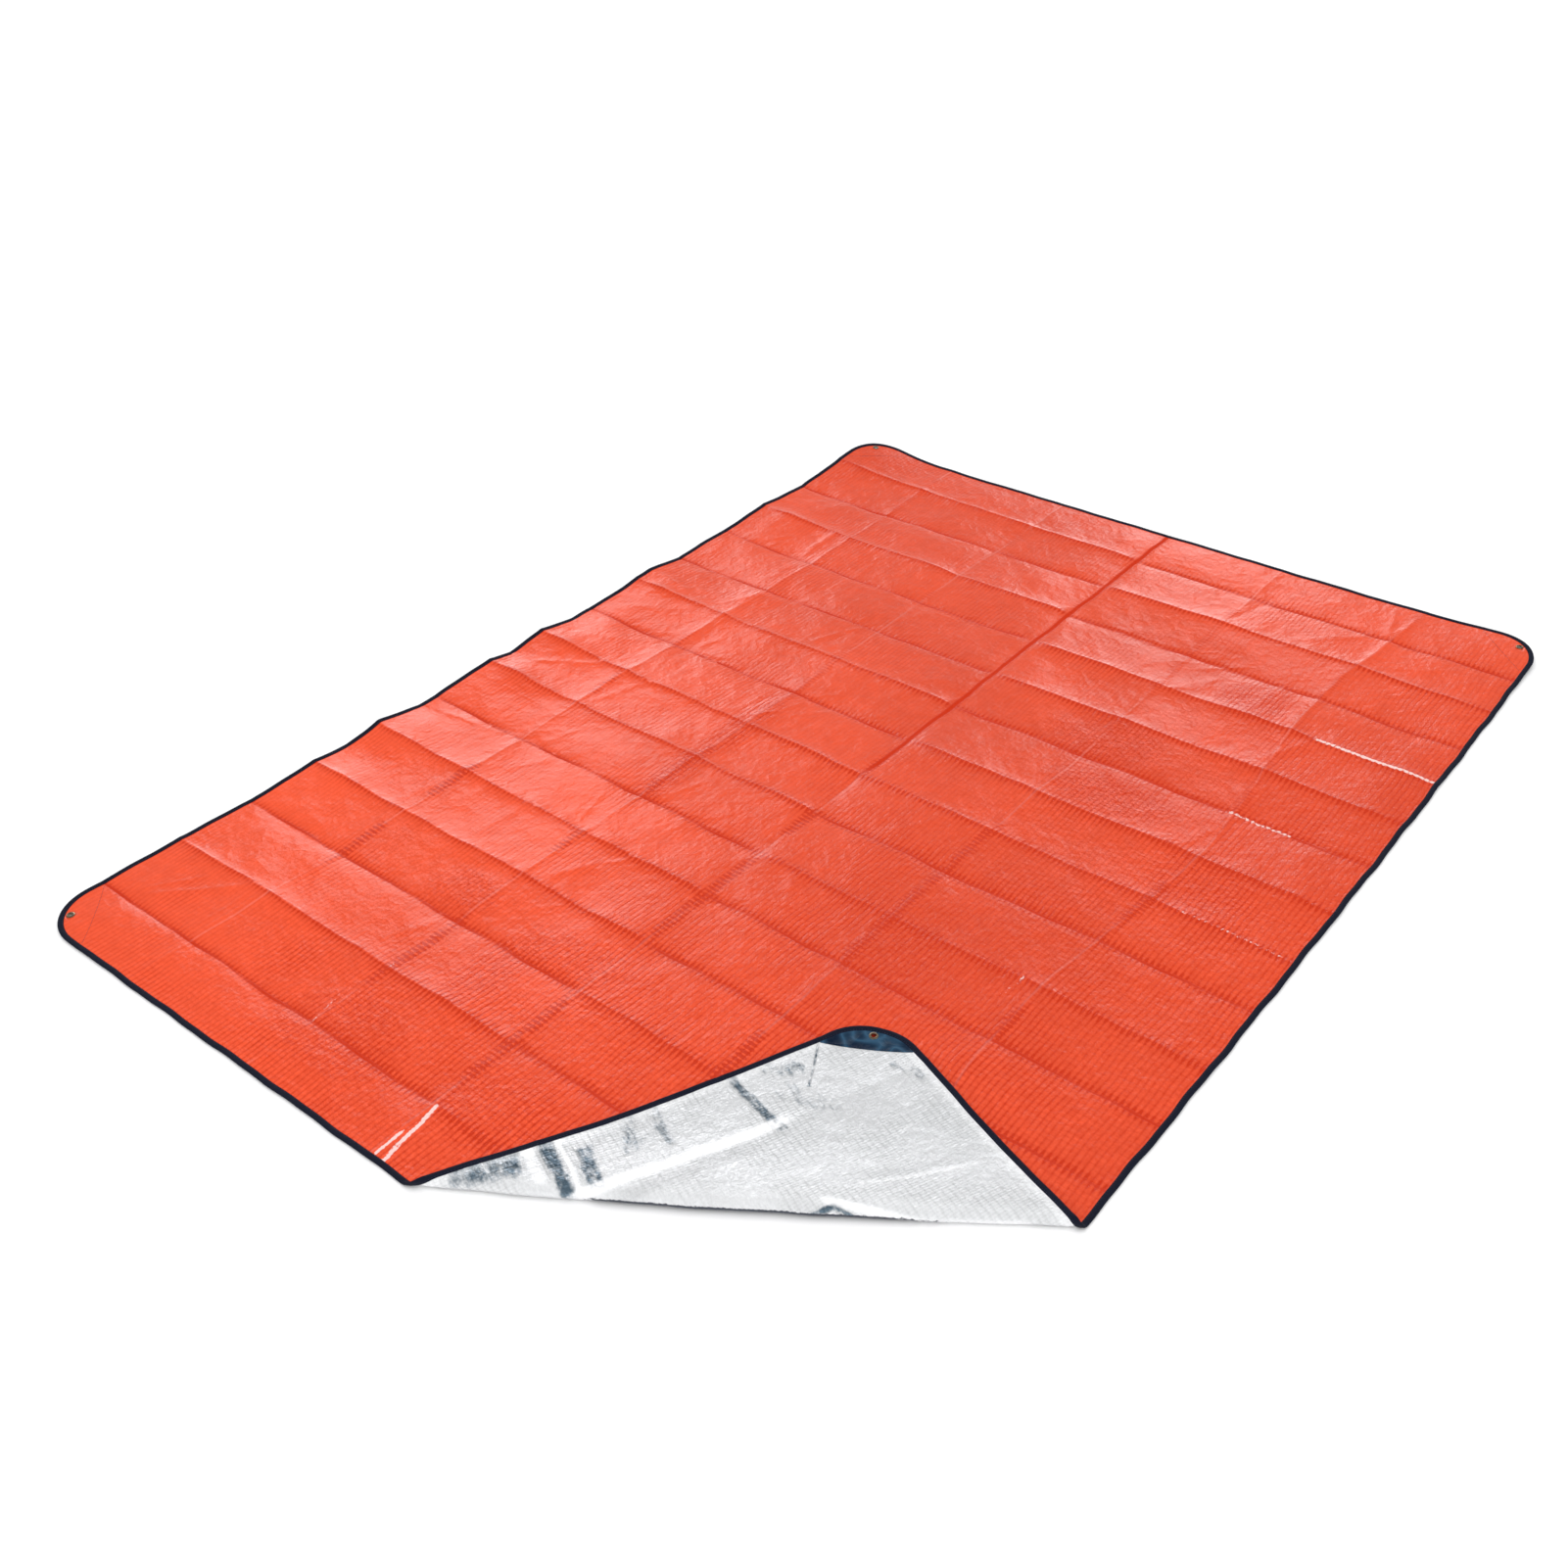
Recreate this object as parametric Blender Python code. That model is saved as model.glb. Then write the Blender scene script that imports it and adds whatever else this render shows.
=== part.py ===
"""Emergency foil blanket, 2.10 m by 1.50 m, opened out on the ground with its near left corner folded back.

The cloth is first drawn flat, in metres, by two coordinates: `along` runs beside the far edge from
the far left corner, and `down` runs from the far edge to the near one. lay_out() then takes each
point of the flat cloth to where it lies. The part has +X along the long edges, +Y towards the far
edge, +Z up, the ground at z = 0 and its origin on the ground under the middle of the cloth.
"""

import math
from collections import namedtuple

import bpy
import numpy as np
from mathutils import Vector
from mathutils.geometry import delaunay_2d_cdt

MM = 0.001

# The cut cloth and its tape
LENGTH = 2.10
WIDTH = 1.50
CORNER_RADIUS = 0.085
SHEET = 1.5 * MM          # thickness of the laminated cloth
TAPE = 0.9 * MM           # thickness of the binding tape
TAPE_WIDTH = 9.5 * MM     # of the bound edge, on each side of the cloth
PATCH = 1.0 * MM          # thickness of a corner patch
GAP = 0.3 * MM            # between pieces that touch
HEM = TAPE_WIDTH + 0.5 * MM   # the strip under the tape, with a little to spare
RAW_EDGE = GAP + TAPE     # the cloth's own edge lies this far inside the finished one
HALF = SHEET / 2

# Eyelets
EYELET_INSET = 16.5 * MM  # centre, from the rounded edge of the corner
BORE = 3.7 * MM           # radius of the open hole
BARREL = 4.3 * MM
FLANGE = 6.5 * MM
FLANGE_RISE = 0.7 * MM
BARREL_STEPS = 16

# How the opened cloth lies: it draws in a little along its folds
DRAW_IN = 0.9935
FAR_BOW = 11 * MM         # the far edge is pulled in by this much at its middle
NEAR_BOW = 9 * MM         # and the near edge bows out
MIDDLE = (0.4 * MM, 5.1 * MM)  # moves the laid cloth so that its box is centred on the origin

# Heights of the cloth above the ground
LOFT = 3.0 * MM           # of the panels between the folds
EDGE_LOFT = 1.3 * MM      # the bound edge lies on its tape
EDGE_REACH = 0.08
FOLD_REACH = 17 * MM      # a crease fades over this distance
FLIP_REACH = 0.03         # folds across change from ridge to trough here, at the middle fold
MIDDLE_FOLD = WIDTH / 2

# The folded-back corner
FOLD_START = (0.0, 0.812)     # where the fold leaves the left edge
FOLD_END = (0.456, WIDTH)     # and where it reaches the near edge
FOLD_BULGE = 8 * MM
ROLL_END = 6.5 * MM           # radius of the turned cloth at the ends of the fold
ROLL_MIDDLE = 9.5 * MM
ROLL_STEPS = 6
FLAP_LIFT = 5.6 * MM          # between the two layers' middles, past the roll
FLAP_SETTLE = 0.11
FLAP_TIP = (0.58, 0.300)     # along the fold and out from it
CALM_REACH = 0.09

# Folds across the cloth: where each meets the far and the near edge, and its rise in millimetres,
# up for a ridge and down for a trough, beyond and before the middle fold.
Across = namedtuple("Across", "far_place near_place far_rise near_rise")
FOLDS_ACROSS = (
    Across(0.110, 0.112, -2.6, 1.6),
    Across(0.246, 0.252, 3.0, -2.0),
    Across(0.378, 0.375, -2.6, 2.2),
    Across(0.508, 0.512, 3.4, -2.0),
    Across(0.645, 0.644, 3.6, -2.2),
    Across(0.772, 0.768, -2.6, 2.0),
    Across(0.906, 0.904, 3.8, -2.4),
    Across(1.036, 1.030, 4.2, 2.4),
    Across(1.164, 1.162, -2.8, 3.2),
    Across(1.298, 1.300, 3.4, -2.6),
    Across(1.424, 1.432, -2.2, 3.4),
    Across(1.566, 1.568, -2.0, 3.8),
    Across(1.700, 1.690, 3.2, -2.6),
    Across(1.832, 1.830, -2.6, 3.6),
    Across(1.972, 1.952, 3.6, -2.6),
)

# Folds along the cloth: its place, how far it wanders over how long a wave, and its rise in
# millimetres in the left quarter, the middle and the right third of the cloth.
Along = namedtuple("Along", "place wander wave left_rise middle_rise right_rise")
FOLDS_ALONG = (
    Along(0.226, 7 * MM, 1.30, 1.2, 2.2, 1.4),
    Along(0.500, 4 * MM, 0.90, 0.8, 1.6, -1.2),
    Along(0.750, 0 * MM, 1.00, 1.2, -1.6, -2.4),
    Along(1.000, 5 * MM, 1.10, 1.0, 0.8, 1.6),
    Along(1.262, 18 * MM, 0.95, 1.0, 1.6, 2.8),
)
RISE_PLACES = (0.25, 1.00, 1.70)

# The far edge stands up in waves: place along it and height in millimetres.
Wave = namedtuple("Wave", "place rise")
FAR_WAVES = (
    Wave(0.000, 1.3), Wave(0.250, 2.5), Wave(0.378, 1.5), Wave(0.508, 7.0), Wave(0.575, 5.0),
    Wave(0.650, 15.0), Wave(0.735, 3.0), Wave(0.904, 15.0), Wave(0.955, 6.0), Wave(1.038, 16.0),
    Wave(1.115, 5.0), Wave(1.220, 7.0), Wave(1.335, 16.0), Wave(1.420, 6.0), Wave(1.560, 8.0),
    Wave(1.700, 14.0), Wave(1.835, 8.0), Wave(1.985, 15.0), Wave(2.100, 16.0),
)
FAR_WAVE_REACH = 0.19

# Corners: which end of each edge it is at, how far its patch reaches along the two edges, and how
# far the corner curls up.
Corner = namedtuple("Corner", "name right near patch_along patch_down curl")
CORNERS = (
    Corner("far_left", 0, 0, 0.103, 0.103, 1.2 * MM),
    Corner("far_right", 1, 0, 0.103, 0.103, 15 * MM),
    Corner("near_right", 1, 1, 0.108, 0.103, 12 * MM),
    Corner("folded", 0, 1, 0.080, 0.092, 0.0),
)
CURL_REACH = 0.30
SEAM_BOW = 0.05           # of a patch's inner edge, as a share of its reach
SEAM_STEPS = 4

# Steps of the drawn cloth
BESIDE_FOLD = 16 * MM     # extra lines beside each crease
CLEAR = 9 * MM            # kept between a loose point and the lines that bound it
CORNER_STEPS = 7
RUN_STEP = 0.032          # along the roll
SLOPE_STEP = 1.5 * MM     # over which a slope is measured

COLOURS = {               # red, green, blue, metallic, roughness
    "orange_laminate": (0.80, 0.10, 0.035, 0.0, 0.34),
    "navy_tape": (0.012, 0.014, 0.035, 0.0, 0.75),
    "navy_patch": (0.012, 0.030, 0.080, 0.0, 0.45),
    "eyelet_metal": (0.30, 0.24, 0.17, 1.0, 0.40),
}


def ease(share):
    """A soft step from 0 to 1: 3 s^2 - 2 s^3 of a share held between 0 and 1."""
    held = np.clip(share, 0.0, 1.0)
    return held * held * (3 - 2 * held)


def crease(distance):
    """The height of a fold near its crease, as a share: exp(-|distance| / FOLD_REACH)."""
    return np.exp(-np.abs(distance) / FOLD_REACH)


def table(rows, column):
    return np.array([getattr(row, column) for row in rows])


def place_across(fold, down):
    """Where a fold across the cloth runs, as a straight line from the far edge to the near one."""
    return fold.far_place + (fold.near_place - fold.far_place) * down / WIDTH


def place_along(fold, along):
    """Where a fold along the cloth runs: its place, and a slow sine either side of it."""
    return fold.place + fold.wander * np.sin(2 * math.pi * along / fold.wave)


# The folded-back corner's own coordinates: `run` goes along the fold, `out` goes off it at a right
# angle towards the corner, and `beyond` is counted from the bulged fold line itself.

FOLD_LENGTH = math.dist(FOLD_START, FOLD_END)
RUN_WAY = ((FOLD_END[0] - FOLD_START[0]) / FOLD_LENGTH, (FOLD_END[1] - FOLD_START[1]) / FOLD_LENGTH)
OUT_WAY = (-RUN_WAY[1], RUN_WAY[0])


def arch(run):
    """0 at both ends of the fold and 1 at its middle: 4 s (1 - s)."""
    share = np.clip(run / FOLD_LENGTH, 0.0, 1.0)
    return 4 * share * (1 - share)


def roll_radius(run):
    return ROLL_END + (ROLL_MIDDLE - ROLL_END) * arch(run)


def from_fold(along, down):
    """The run along the fold and the distance out from its straight chord."""
    right = along - FOLD_START[0]
    near = down - FOLD_START[1]
    return right * RUN_WAY[0] + near * RUN_WAY[1], right * OUT_WAY[0] + near * OUT_WAY[1]


def to_flat(run, out):
    """The flat cloth's coordinates of a place given by run and out."""
    along = FOLD_START[0] + run * RUN_WAY[0] + out * OUT_WAY[0]
    down = FOLD_START[1] + run * RUN_WAY[1] + out * OUT_WAY[1]
    return along, down


def inside_edge(along, down):
    """How far a place lies inside the finished edge, round corners included; below 0 outside it."""
    from_middle_along = np.abs(along - LENGTH / 2)
    from_middle_down = np.abs(down - WIDTH / 2)
    past_along = np.maximum(from_middle_along - (LENGTH / 2 - CORNER_RADIUS), 0)
    past_down = np.maximum(from_middle_down - (WIDTH / 2 - CORNER_RADIUS), 0)
    to_side = np.minimum(LENGTH / 2 - from_middle_along, WIDTH / 2 - from_middle_down)
    to_arc = CORNER_RADIUS - np.hypot(past_along, past_down)
    return np.where((past_along > 0) & (past_down > 0), to_arc, to_side)


def relief(along, down):
    """Height of the cloth's underside above the ground, before anything is folded back."""
    before_middle = ease((down - MIDDLE_FOLD) / FLIP_REACH / 2 + 0.5)
    height = np.full(np.shape(along), LOFT)
    for fold in FOLDS_ACROSS:
        rise = fold.far_rise + (fold.near_rise - fold.far_rise) * before_middle
        height = height + MM * rise * crease(along - place_across(fold, down))
    for fold in FOLDS_ALONG:
        rise = np.interp(along, RISE_PLACES, (fold.left_rise, fold.middle_rise, fold.right_rise))
        height = height + MM * rise * crease(down - place_along(fold, along))

    to_edge = inside_edge(along, down)
    inside = ease(to_edge / EDGE_REACH)
    height = EDGE_LOFT + (height - EDGE_LOFT) * (0.25 + 0.75 * inside)

    waves = MM * np.interp(along, table(FAR_WAVES, "place"), table(FAR_WAVES, "rise"))
    at_far_edge = np.clip(1 - down / FAR_WAVE_REACH, 0.0, 1.0) ** 2
    height = height + (waves - EDGE_LOFT) * at_far_edge
    for corner in CORNERS:
        reach = np.hypot(along - corner.right * LENGTH, down - corner.near * WIDTH)
        height = height + corner.curl * np.clip(1 - reach / CURL_REACH, 0.0, 1.0) ** 2

    run, out = from_fold(along, down)
    tip_run, tip_out = FLAP_TIP
    covered = np.interp(run, (0, tip_run, FOLD_LENGTH, FOLD_LENGTH + 0.3), (0, tip_out, 0, -0.3))
    covered = np.where(run < 0, run, covered)
    calm = ease((-out - covered) / CALM_REACH + 0.2)
    on_tape = EDGE_LOFT * ease(2 - to_edge / HEM)
    return np.maximum(height * calm, on_tape)


def lay_out(along, down):
    """Where points of the flat cloth lie: rows of x, y, z on the middle of its thickness.

    Past the fold the cloth turns over in half a circle and comes back over itself, at a height
    that falls from the roll's own to FLAP_LIFT. Its footprint is then drawn in and bowed.
    """
    along = np.asarray(along, dtype=float)
    down = np.asarray(down, dtype=float)
    run, out = from_fold(along, down)
    bulge = FOLD_BULGE * arch(run)
    radius = roll_radius(run)
    beyond = out - bulge
    turn = np.clip(beyond / radius, 0.0, math.pi)
    back = np.maximum(beyond - math.pi * radius, 0.0)
    foot_along, foot_down = to_flat(run, bulge + np.minimum(beyond, 0.0) + radius * np.sin(turn) - back)

    settled = ease(back / FLAP_SETTLE)
    rise = radius * (1 - np.cos(turn)) + (FLAP_LIFT - 2 * radius) * settled
    rise = rise + flap_folds(along, down) * settled
    height = relief(foot_along, foot_down) + HALF + rise

    bow = np.sin(math.pi * np.clip(foot_along / LENGTH, 0.0, 1.0))
    pull = NEAR_BOW * (foot_down / WIDTH) ** 2 + FAR_BOW * (1 - foot_down / WIDTH) ** 2
    x = (foot_along - LENGTH / 2) * DRAW_IN + MIDDLE[0]
    y = WIDTH / 2 - foot_down - bow * pull + MIDDLE[1]
    return np.stack((x, y, height), axis=-1)


def flap_folds(along, down):
    """Extra height of the folded-back corner where the cloth's own folds cross it."""
    rise = 1.4 + 2.6 * crease(down - 1.0) - 1.2 * crease(down - 1.25) + 1.4 * crease(along - 0.112)
    return MM * rise


def orange_side(along, down):
    """Unit normals on the orange side: the cross product of the laid cloth's two slopes."""
    step = SLOPE_STEP
    slope_along = lay_out(along + step, down) - lay_out(along - step, down)
    slope_down = lay_out(along, down + step) - lay_out(along, down - step)
    normal = np.cross(slope_down, slope_along)
    return normal / np.linalg.norm(normal, axis=-1, keepdims=True)


def round_corner(corner):
    """Centre of a corner's arc on the flat cloth, and the two ways out from it to the edges."""
    centre = (abs(corner.right * LENGTH - CORNER_RADIUS), abs(corner.near * WIDTH - CORNER_RADIUS))
    return centre, (2 * corner.right - 1, 2 * corner.near - 1)


def lines_across(down):
    """Places along the cloth that carry a line of points: each crease, both sides of it, and mid-panel."""
    creases = np.array([place_across(fold, down) for fold in FOLDS_ACROSS])
    ends = np.concatenate(([0.0], creases, [LENGTH]))
    return np.sort(np.concatenate((creases, creases - BESIDE_FOLD, creases + BESIDE_FOLD,
                                   (ends[1:] + ends[:-1]) / 2)))


def lines_along(along):
    """Places down the cloth that carry a line of points, found in the same way."""
    creases = np.array([place_along(fold, along) for fold in FOLDS_ALONG])
    ends = np.concatenate(([0.0], creases, [WIDTH]))
    return np.sort(np.concatenate((creases, creases - BESIDE_FOLD, creases + BESIDE_FOLD,
                                   (ends[1:] + ends[:-1]) / 2)))


def edge_places(places, extra, length):
    """Stations on one edge: its corners' ends, the lines that reach it, and closer ones where asked."""
    fixed = np.concatenate(([CORNER_RADIUS, length - CORNER_RADIUS], extra))
    places = places[(places > CORNER_RADIUS + CLEAR) & (places < length - CORNER_RADIUS - CLEAR)]
    far_enough = np.abs(places[:, None] - fixed[None, :]).min(axis=1) > CLEAR
    return np.sort(np.concatenate((places[far_enough], fixed)))


def roll_places(along, down, places):
    """Stations where the hem crosses the roll, one each sixth of its half turn, and two before it."""
    run, out = from_fold(along, down)
    sixth = (out - FOLD_BULGE * arch(run)) / (math.pi * roll_radius(run)) * ROLL_STEPS
    order = np.argsort(sixth)
    return np.interp(np.arange(-2, ROLL_STEPS + 1), sixth[order], places[order])


def stations():
    """The closed row of stations round the cloth: raw edge points, and hem points inside them."""
    search = np.linspace(0, WIDTH, 3001)
    left_roll = roll_places(np.full_like(search, HEM), search, search)
    search = np.linspace(0, 1.0, 2001)
    near_roll = roll_places(search, np.full_like(search, WIDTH - HEM), search)
    folded = CORNERS[3]
    patch = {corner.name: (HEM + corner.patch_along, HEM + corner.patch_down) for corner in CORNERS}
    far = edge_places(lines_across(0.0), [patch["far_left"][0], LENGTH - patch["far_right"][0]], LENGTH)
    right = edge_places(lines_along(LENGTH), [patch["far_right"][1], WIDTH - patch["near_right"][1]], WIDTH)
    near = edge_places(lines_across(WIDTH), np.append(near_roll, [patch[folded.name][0],
                                                                  LENGTH - patch["near_right"][0]]), LENGTH)
    left = edge_places(lines_along(0.0), np.append(left_roll, [patch["far_left"][1],
                                                               WIDTH - patch[folded.name][1]]), WIDTH)
    points = []
    inward = []

    def straight(along, down, way):
        points.extend(zip(along, down))
        inward.extend([way] * len(points[len(inward):]))

    def arc(corner, start):
        centre, _ = round_corner(corner)
        for step in range(1, CORNER_STEPS):
            angle = start + math.pi / 2 * step / CORNER_STEPS
            outward = (math.cos(angle), math.sin(angle))
            points.append((centre[0] + CORNER_RADIUS * outward[0], centre[1] + CORNER_RADIUS * outward[1]))
            inward.append((-outward[0], -outward[1]))

    straight(far, np.zeros_like(far), (0, 1))
    arc(CORNERS[1], -math.pi / 2)
    straight(np.full_like(right, LENGTH), right, (-1, 0))
    arc(CORNERS[2], 0)
    straight(near[::-1], np.full_like(near, WIDTH), (0, -1))
    arc(CORNERS[3], math.pi / 2)
    straight(np.zeros_like(left), left[::-1], (1, 0))
    arc(CORNERS[0], math.pi)
    points = np.array(points)
    inward = np.array(inward)
    return points + RAW_EDGE * inward, points + HEM * inward


def patch_share(corner, along, down):
    """Below 1 inside a corner's patch: the two reaches added as shares, over a slightly bowed seam."""
    across = np.abs(along - abs(corner.right * LENGTH - HEM)) / corner.patch_along
    deep = np.abs(down - abs(corner.near * WIDTH - HEM)) / corner.patch_down
    total = across + deep
    share = across / np.maximum(total, 1e-9)
    return total / (1 + SEAM_BOW * 4 * share * (1 - share))


def seam(corner):
    """Points on the inner edge of a corner's patch, from one hem to the other."""
    share = np.linspace(0, 1, SEAM_STEPS + 1)
    scale = 1 + SEAM_BOW * 4 * share * (1 - share)
    _, (right, near) = round_corner(corner)
    along = abs(corner.right * LENGTH - HEM) - right * corner.patch_along * share * scale
    down = abs(corner.near * WIDTH - HEM) - near * corner.patch_down * (1 - share) * scale
    return np.stack((along, down), axis=-1)


def eyelet_centre(corner):
    centre, (right, near) = round_corner(corner)
    reach = (CORNER_RADIUS - EYELET_INSET) * math.sqrt(0.5)
    return np.array((centre[0] + right * reach, centre[1] + near * reach))


def ring(centre, radius, steps):
    angle = 2 * math.pi * (np.arange(steps) + 0.5) / steps
    return centre + radius * np.stack((np.cos(angle), np.sin(angle)), axis=-1)


def roll_rows():
    """Rows of points along the roll, and at the foot and the settling of the folded-back corner."""
    run = np.arange(RUN_STEP / 2, FOLD_LENGTH, RUN_STEP)
    bulge = FOLD_BULGE * arch(run)
    half_turn = math.pi * roll_radius(run)
    rows = [bulge - 25 * MM, bulge - 7 * MM]
    rows += [bulge + half_turn * step / ROLL_STEPS for step in range(ROLL_STEPS + 1)]
    rows += [bulge + half_turn + FLAP_SETTLE * share for share in (0.2, 0.45, 0.7, 1.0)]
    return [np.stack(to_flat(run, out), axis=-1) for out in rows]


def to_lines(points, lines):
    """Distance from each point to the nearest of several lines of joined segments."""
    nearest = np.full(len(points), np.inf)
    for line in lines:
        for first, second in zip(line[:-1], line[1:]):
            way = second - first
            share = np.clip((points - first) @ way / (way @ way), 0.0, 1.0)
            nearest = np.minimum(nearest, np.linalg.norm(points - first - share[:, None] * way, axis=1))
    return nearest


def flat_cloth():
    """The flat cloth as points and triangles, turned the same way as seen from the orange side.

    Its first points are the raw edge and then the hem, station by station. The rest are the eyelet
    holes, the patch seams, the rows of the roll and the crossings of the fold lines.
    """
    raw, hem = stations()
    count = len(hem)
    points = [hem]
    edges = [(step, (step + 1) % count) for step in range(count)]

    def add_line(line, closed, first=None, last=None):
        start = sum(len(block) for block in points)
        points.append(line)
        numbers = list(range(start, start + len(line)))
        if first is not None:
            numbers = [first] + numbers + [last]
        edges.extend(zip(numbers, numbers[1:] + numbers[:1] if closed else numbers[1:]))

    fixed = []
    for corner in CORNERS:
        hole = ring(eyelet_centre(corner), BARREL + GAP, BARREL_STEPS)
        add_line(hole, True)
        edge_seam = seam(corner)
        first, last = (int(np.linalg.norm(hem - end, axis=1).argmin()) for end in edge_seam[[0, -1]])
        add_line(edge_seam[1:-1], False, first, last)
        fixed.append(hole)
        fixed.append(edge_seam)
    for row in roll_rows():
        row = row[inside_edge(*row.T) > HEM + CLEAR / 2]
        add_line(row, False)
        fixed.append(row)

    loose = crossings()
    loose = loose[inside_edge(*loose.T) > HEM + CLEAR]
    keep = to_lines(loose, fixed) > CLEAR
    run, out = from_fold(loose[:, 0], loose[:, 1])
    beyond = out - FOLD_BULGE * arch(run)
    in_roll = (run > 0) & (run < FOLD_LENGTH) & (beyond > -7 * MM) & (beyond < math.pi * roll_radius(run))
    points.append(loose[keep & ~in_roll])

    points = np.concatenate(points)
    outcome = delaunay_2d_cdt([Vector(point) for point in points], edges, [list(range(count))], 1, 1e-7)
    made = np.array([tuple(point) for point in outcome[0]])
    triangles = np.array([face for face in outcome[2]])
    if len(made) != len(points) or any(len(face) != 3 for face in outcome[2]):
        raise ValueError("the flat cloth's lines cross each other")
    middles = points[triangles].mean(axis=1)
    hole_flat = (BARREL + GAP) * math.cos(math.pi / BARREL_STEPS)
    for corner in CORNERS:
        outside = np.linalg.norm(middles - eyelet_centre(corner), axis=1) > hole_flat
        triangles = triangles[outside]
        middles = middles[outside]
    corners = points[triangles]
    side = corners[:, 1] - corners[:, 0]
    other = corners[:, 2] - corners[:, 0]
    clockwise = side[:, 0] * other[:, 1] - side[:, 1] * other[:, 0] > 0
    triangles[clockwise] = triangles[clockwise][:, ::-1]

    step = np.arange(count)
    after = (step + 1) % count
    band = np.concatenate((np.stack((step, after + count, after), axis=-1),
                           np.stack((step, step + count, after + count), axis=-1)))
    return np.concatenate((raw, points)), np.concatenate((band, triangles + count)), count


def crossings():
    """Where the lines across and the lines along the cloth cross."""
    down = lines_along(LENGTH / 2)
    along = np.stack([lines_across(place) for place in down])
    down = np.stack([lines_along(place) for place in along[0]], axis=1)
    return np.stack((along, down), axis=-1).reshape(-1, 2)


def make_object(name, points, faces, material):
    mesh = bpy.data.meshes.new(name)
    mesh.from_pydata([tuple(point) for point in points], [], [tuple(int(i) for i in face) for face in faces])
    mesh.shade_smooth()
    mesh.set_sharp_from_angle(angle=math.radians(35))
    mesh.materials.append(material)
    made = bpy.data.objects.new(name, mesh)
    bpy.context.scene.collection.objects.link(made)
    return made


def between(upper, lower, triangles):
    """A closed body between two like surfaces, walled along every edge that only one triangle uses."""
    count = len(upper)
    sides = np.concatenate((triangles[:, (0, 1)], triangles[:, (1, 2)], triangles[:, (2, 0)]))
    used = {(int(a), int(b)) for a, b in sides}
    rim = np.array([pair for pair in used if (pair[1], pair[0]) not in used])
    rim = rim[np.lexsort((rim[:, 1], rim[:, 0]))]
    start, end = rim[:, 0], rim[:, 1]
    walls = np.concatenate((np.stack((start, start + count, end + count), axis=-1),
                            np.stack((start, end + count, end), axis=-1)))
    faces = np.concatenate((triangles, triangles[:, ::-1] + count, walls))
    points = np.concatenate((upper, lower))
    kept, place = np.unique(faces, return_inverse=True)
    return points[kept], place.reshape(faces.shape)


def add_sheet(flat, triangles, material):
    middle = lay_out(flat[:, 0], flat[:, 1])
    side = orange_side(flat[:, 0], flat[:, 1]) * HALF
    points, faces = between(middle + side, middle - side, triangles)
    return make_object("sheet", points, faces, material)


def add_patch(corner, flat, triangles, count, material):
    """A patch on the silver side: the cloth's own triangles inside the seam, moved off that face."""
    middles = flat[triangles].mean(axis=1)
    inside = (triangles >= count).all(axis=1) & (patch_share(corner, middles[:, 0], middles[:, 1]) < 1)
    middle = lay_out(flat[:, 0], flat[:, 1])
    side = orange_side(flat[:, 0], flat[:, 1])
    points, faces = between(middle - side * (HALF + GAP), middle - side * (HALF + GAP + PATCH),
                            triangles[inside])
    return make_object("corner_patch_" + corner.name, points, faces, material)


def add_binding(flat, count, material):
    """The tape: a U section, open towards the cloth, carried from station to station all round.

    Its legs lie on the straight lines from the raw edge to the hem, as the cloth's own hem does,
    and share its diagonals, so that the two stay the same distance apart where they turn.
    """
    raw = lay_out(*flat[:count].T)
    hem = lay_out(*flat[count:2 * count].T)
    raw_side = orange_side(*flat[:count].T)
    hem_side = orange_side(*flat[count:2 * count].T)
    inward = (hem - raw) / np.linalg.norm(hem - raw, axis=1, keepdims=True)
    share = (TAPE_WIDTH - RAW_EDGE) / (HEM - RAW_EDGE)
    leg = raw + (hem - raw) * share
    leg_side = raw_side + (hem_side - raw_side) * share
    leg_side = leg_side / np.linalg.norm(leg_side, axis=1, keepdims=True)
    near_face = HALF + GAP
    far_face = HALF + GAP + TAPE
    section = (
        leg + leg_side * far_face,
        raw - inward * RAW_EDGE + raw_side * far_face,
        raw - inward * RAW_EDGE - raw_side * far_face,
        leg - leg_side * far_face,
        leg - leg_side * near_face,
        raw - inward * GAP - raw_side * near_face,
        raw - inward * GAP + raw_side * near_face,
        leg + leg_side * near_face,
    )
    at_edge = (1, 2, 5, 6)
    sides = len(section)
    step = np.arange(count)
    after = (step + 1) % count
    faces = []
    for first in range(sides):
        second = (first + 1) % sides
        a, b = step * sides + first, step * sides + second
        c, d = after * sides + second, after * sides + first
        if first in at_edge:
            faces += [np.stack((a, c, b), axis=-1), np.stack((a, d, c), axis=-1)]
        else:
            faces += [np.stack((a, d, b), axis=-1), np.stack((b, d, c), axis=-1)]
    points = np.stack(section, axis=1).reshape(-1, 3)
    return make_object("binding", points, np.concatenate(faces), material)


def eyelet_profile():
    """Radius and height of an eyelet's section, from the bore out, the orange side up."""
    lower = -(HALF + GAP + PATCH + GAP)
    upper = HALF + GAP
    soft = FLANGE_RISE / 2
    return (
        (BORE, lower - soft), (BORE + soft, lower - FLANGE_RISE), (FLANGE - soft, lower - FLANGE_RISE),
        (FLANGE, lower), (BARREL, lower), (BARREL, upper), (FLANGE, upper),
        (FLANGE - soft, upper + FLANGE_RISE), (BORE + soft, upper + FLANGE_RISE), (BORE, upper + soft),
    )


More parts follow.
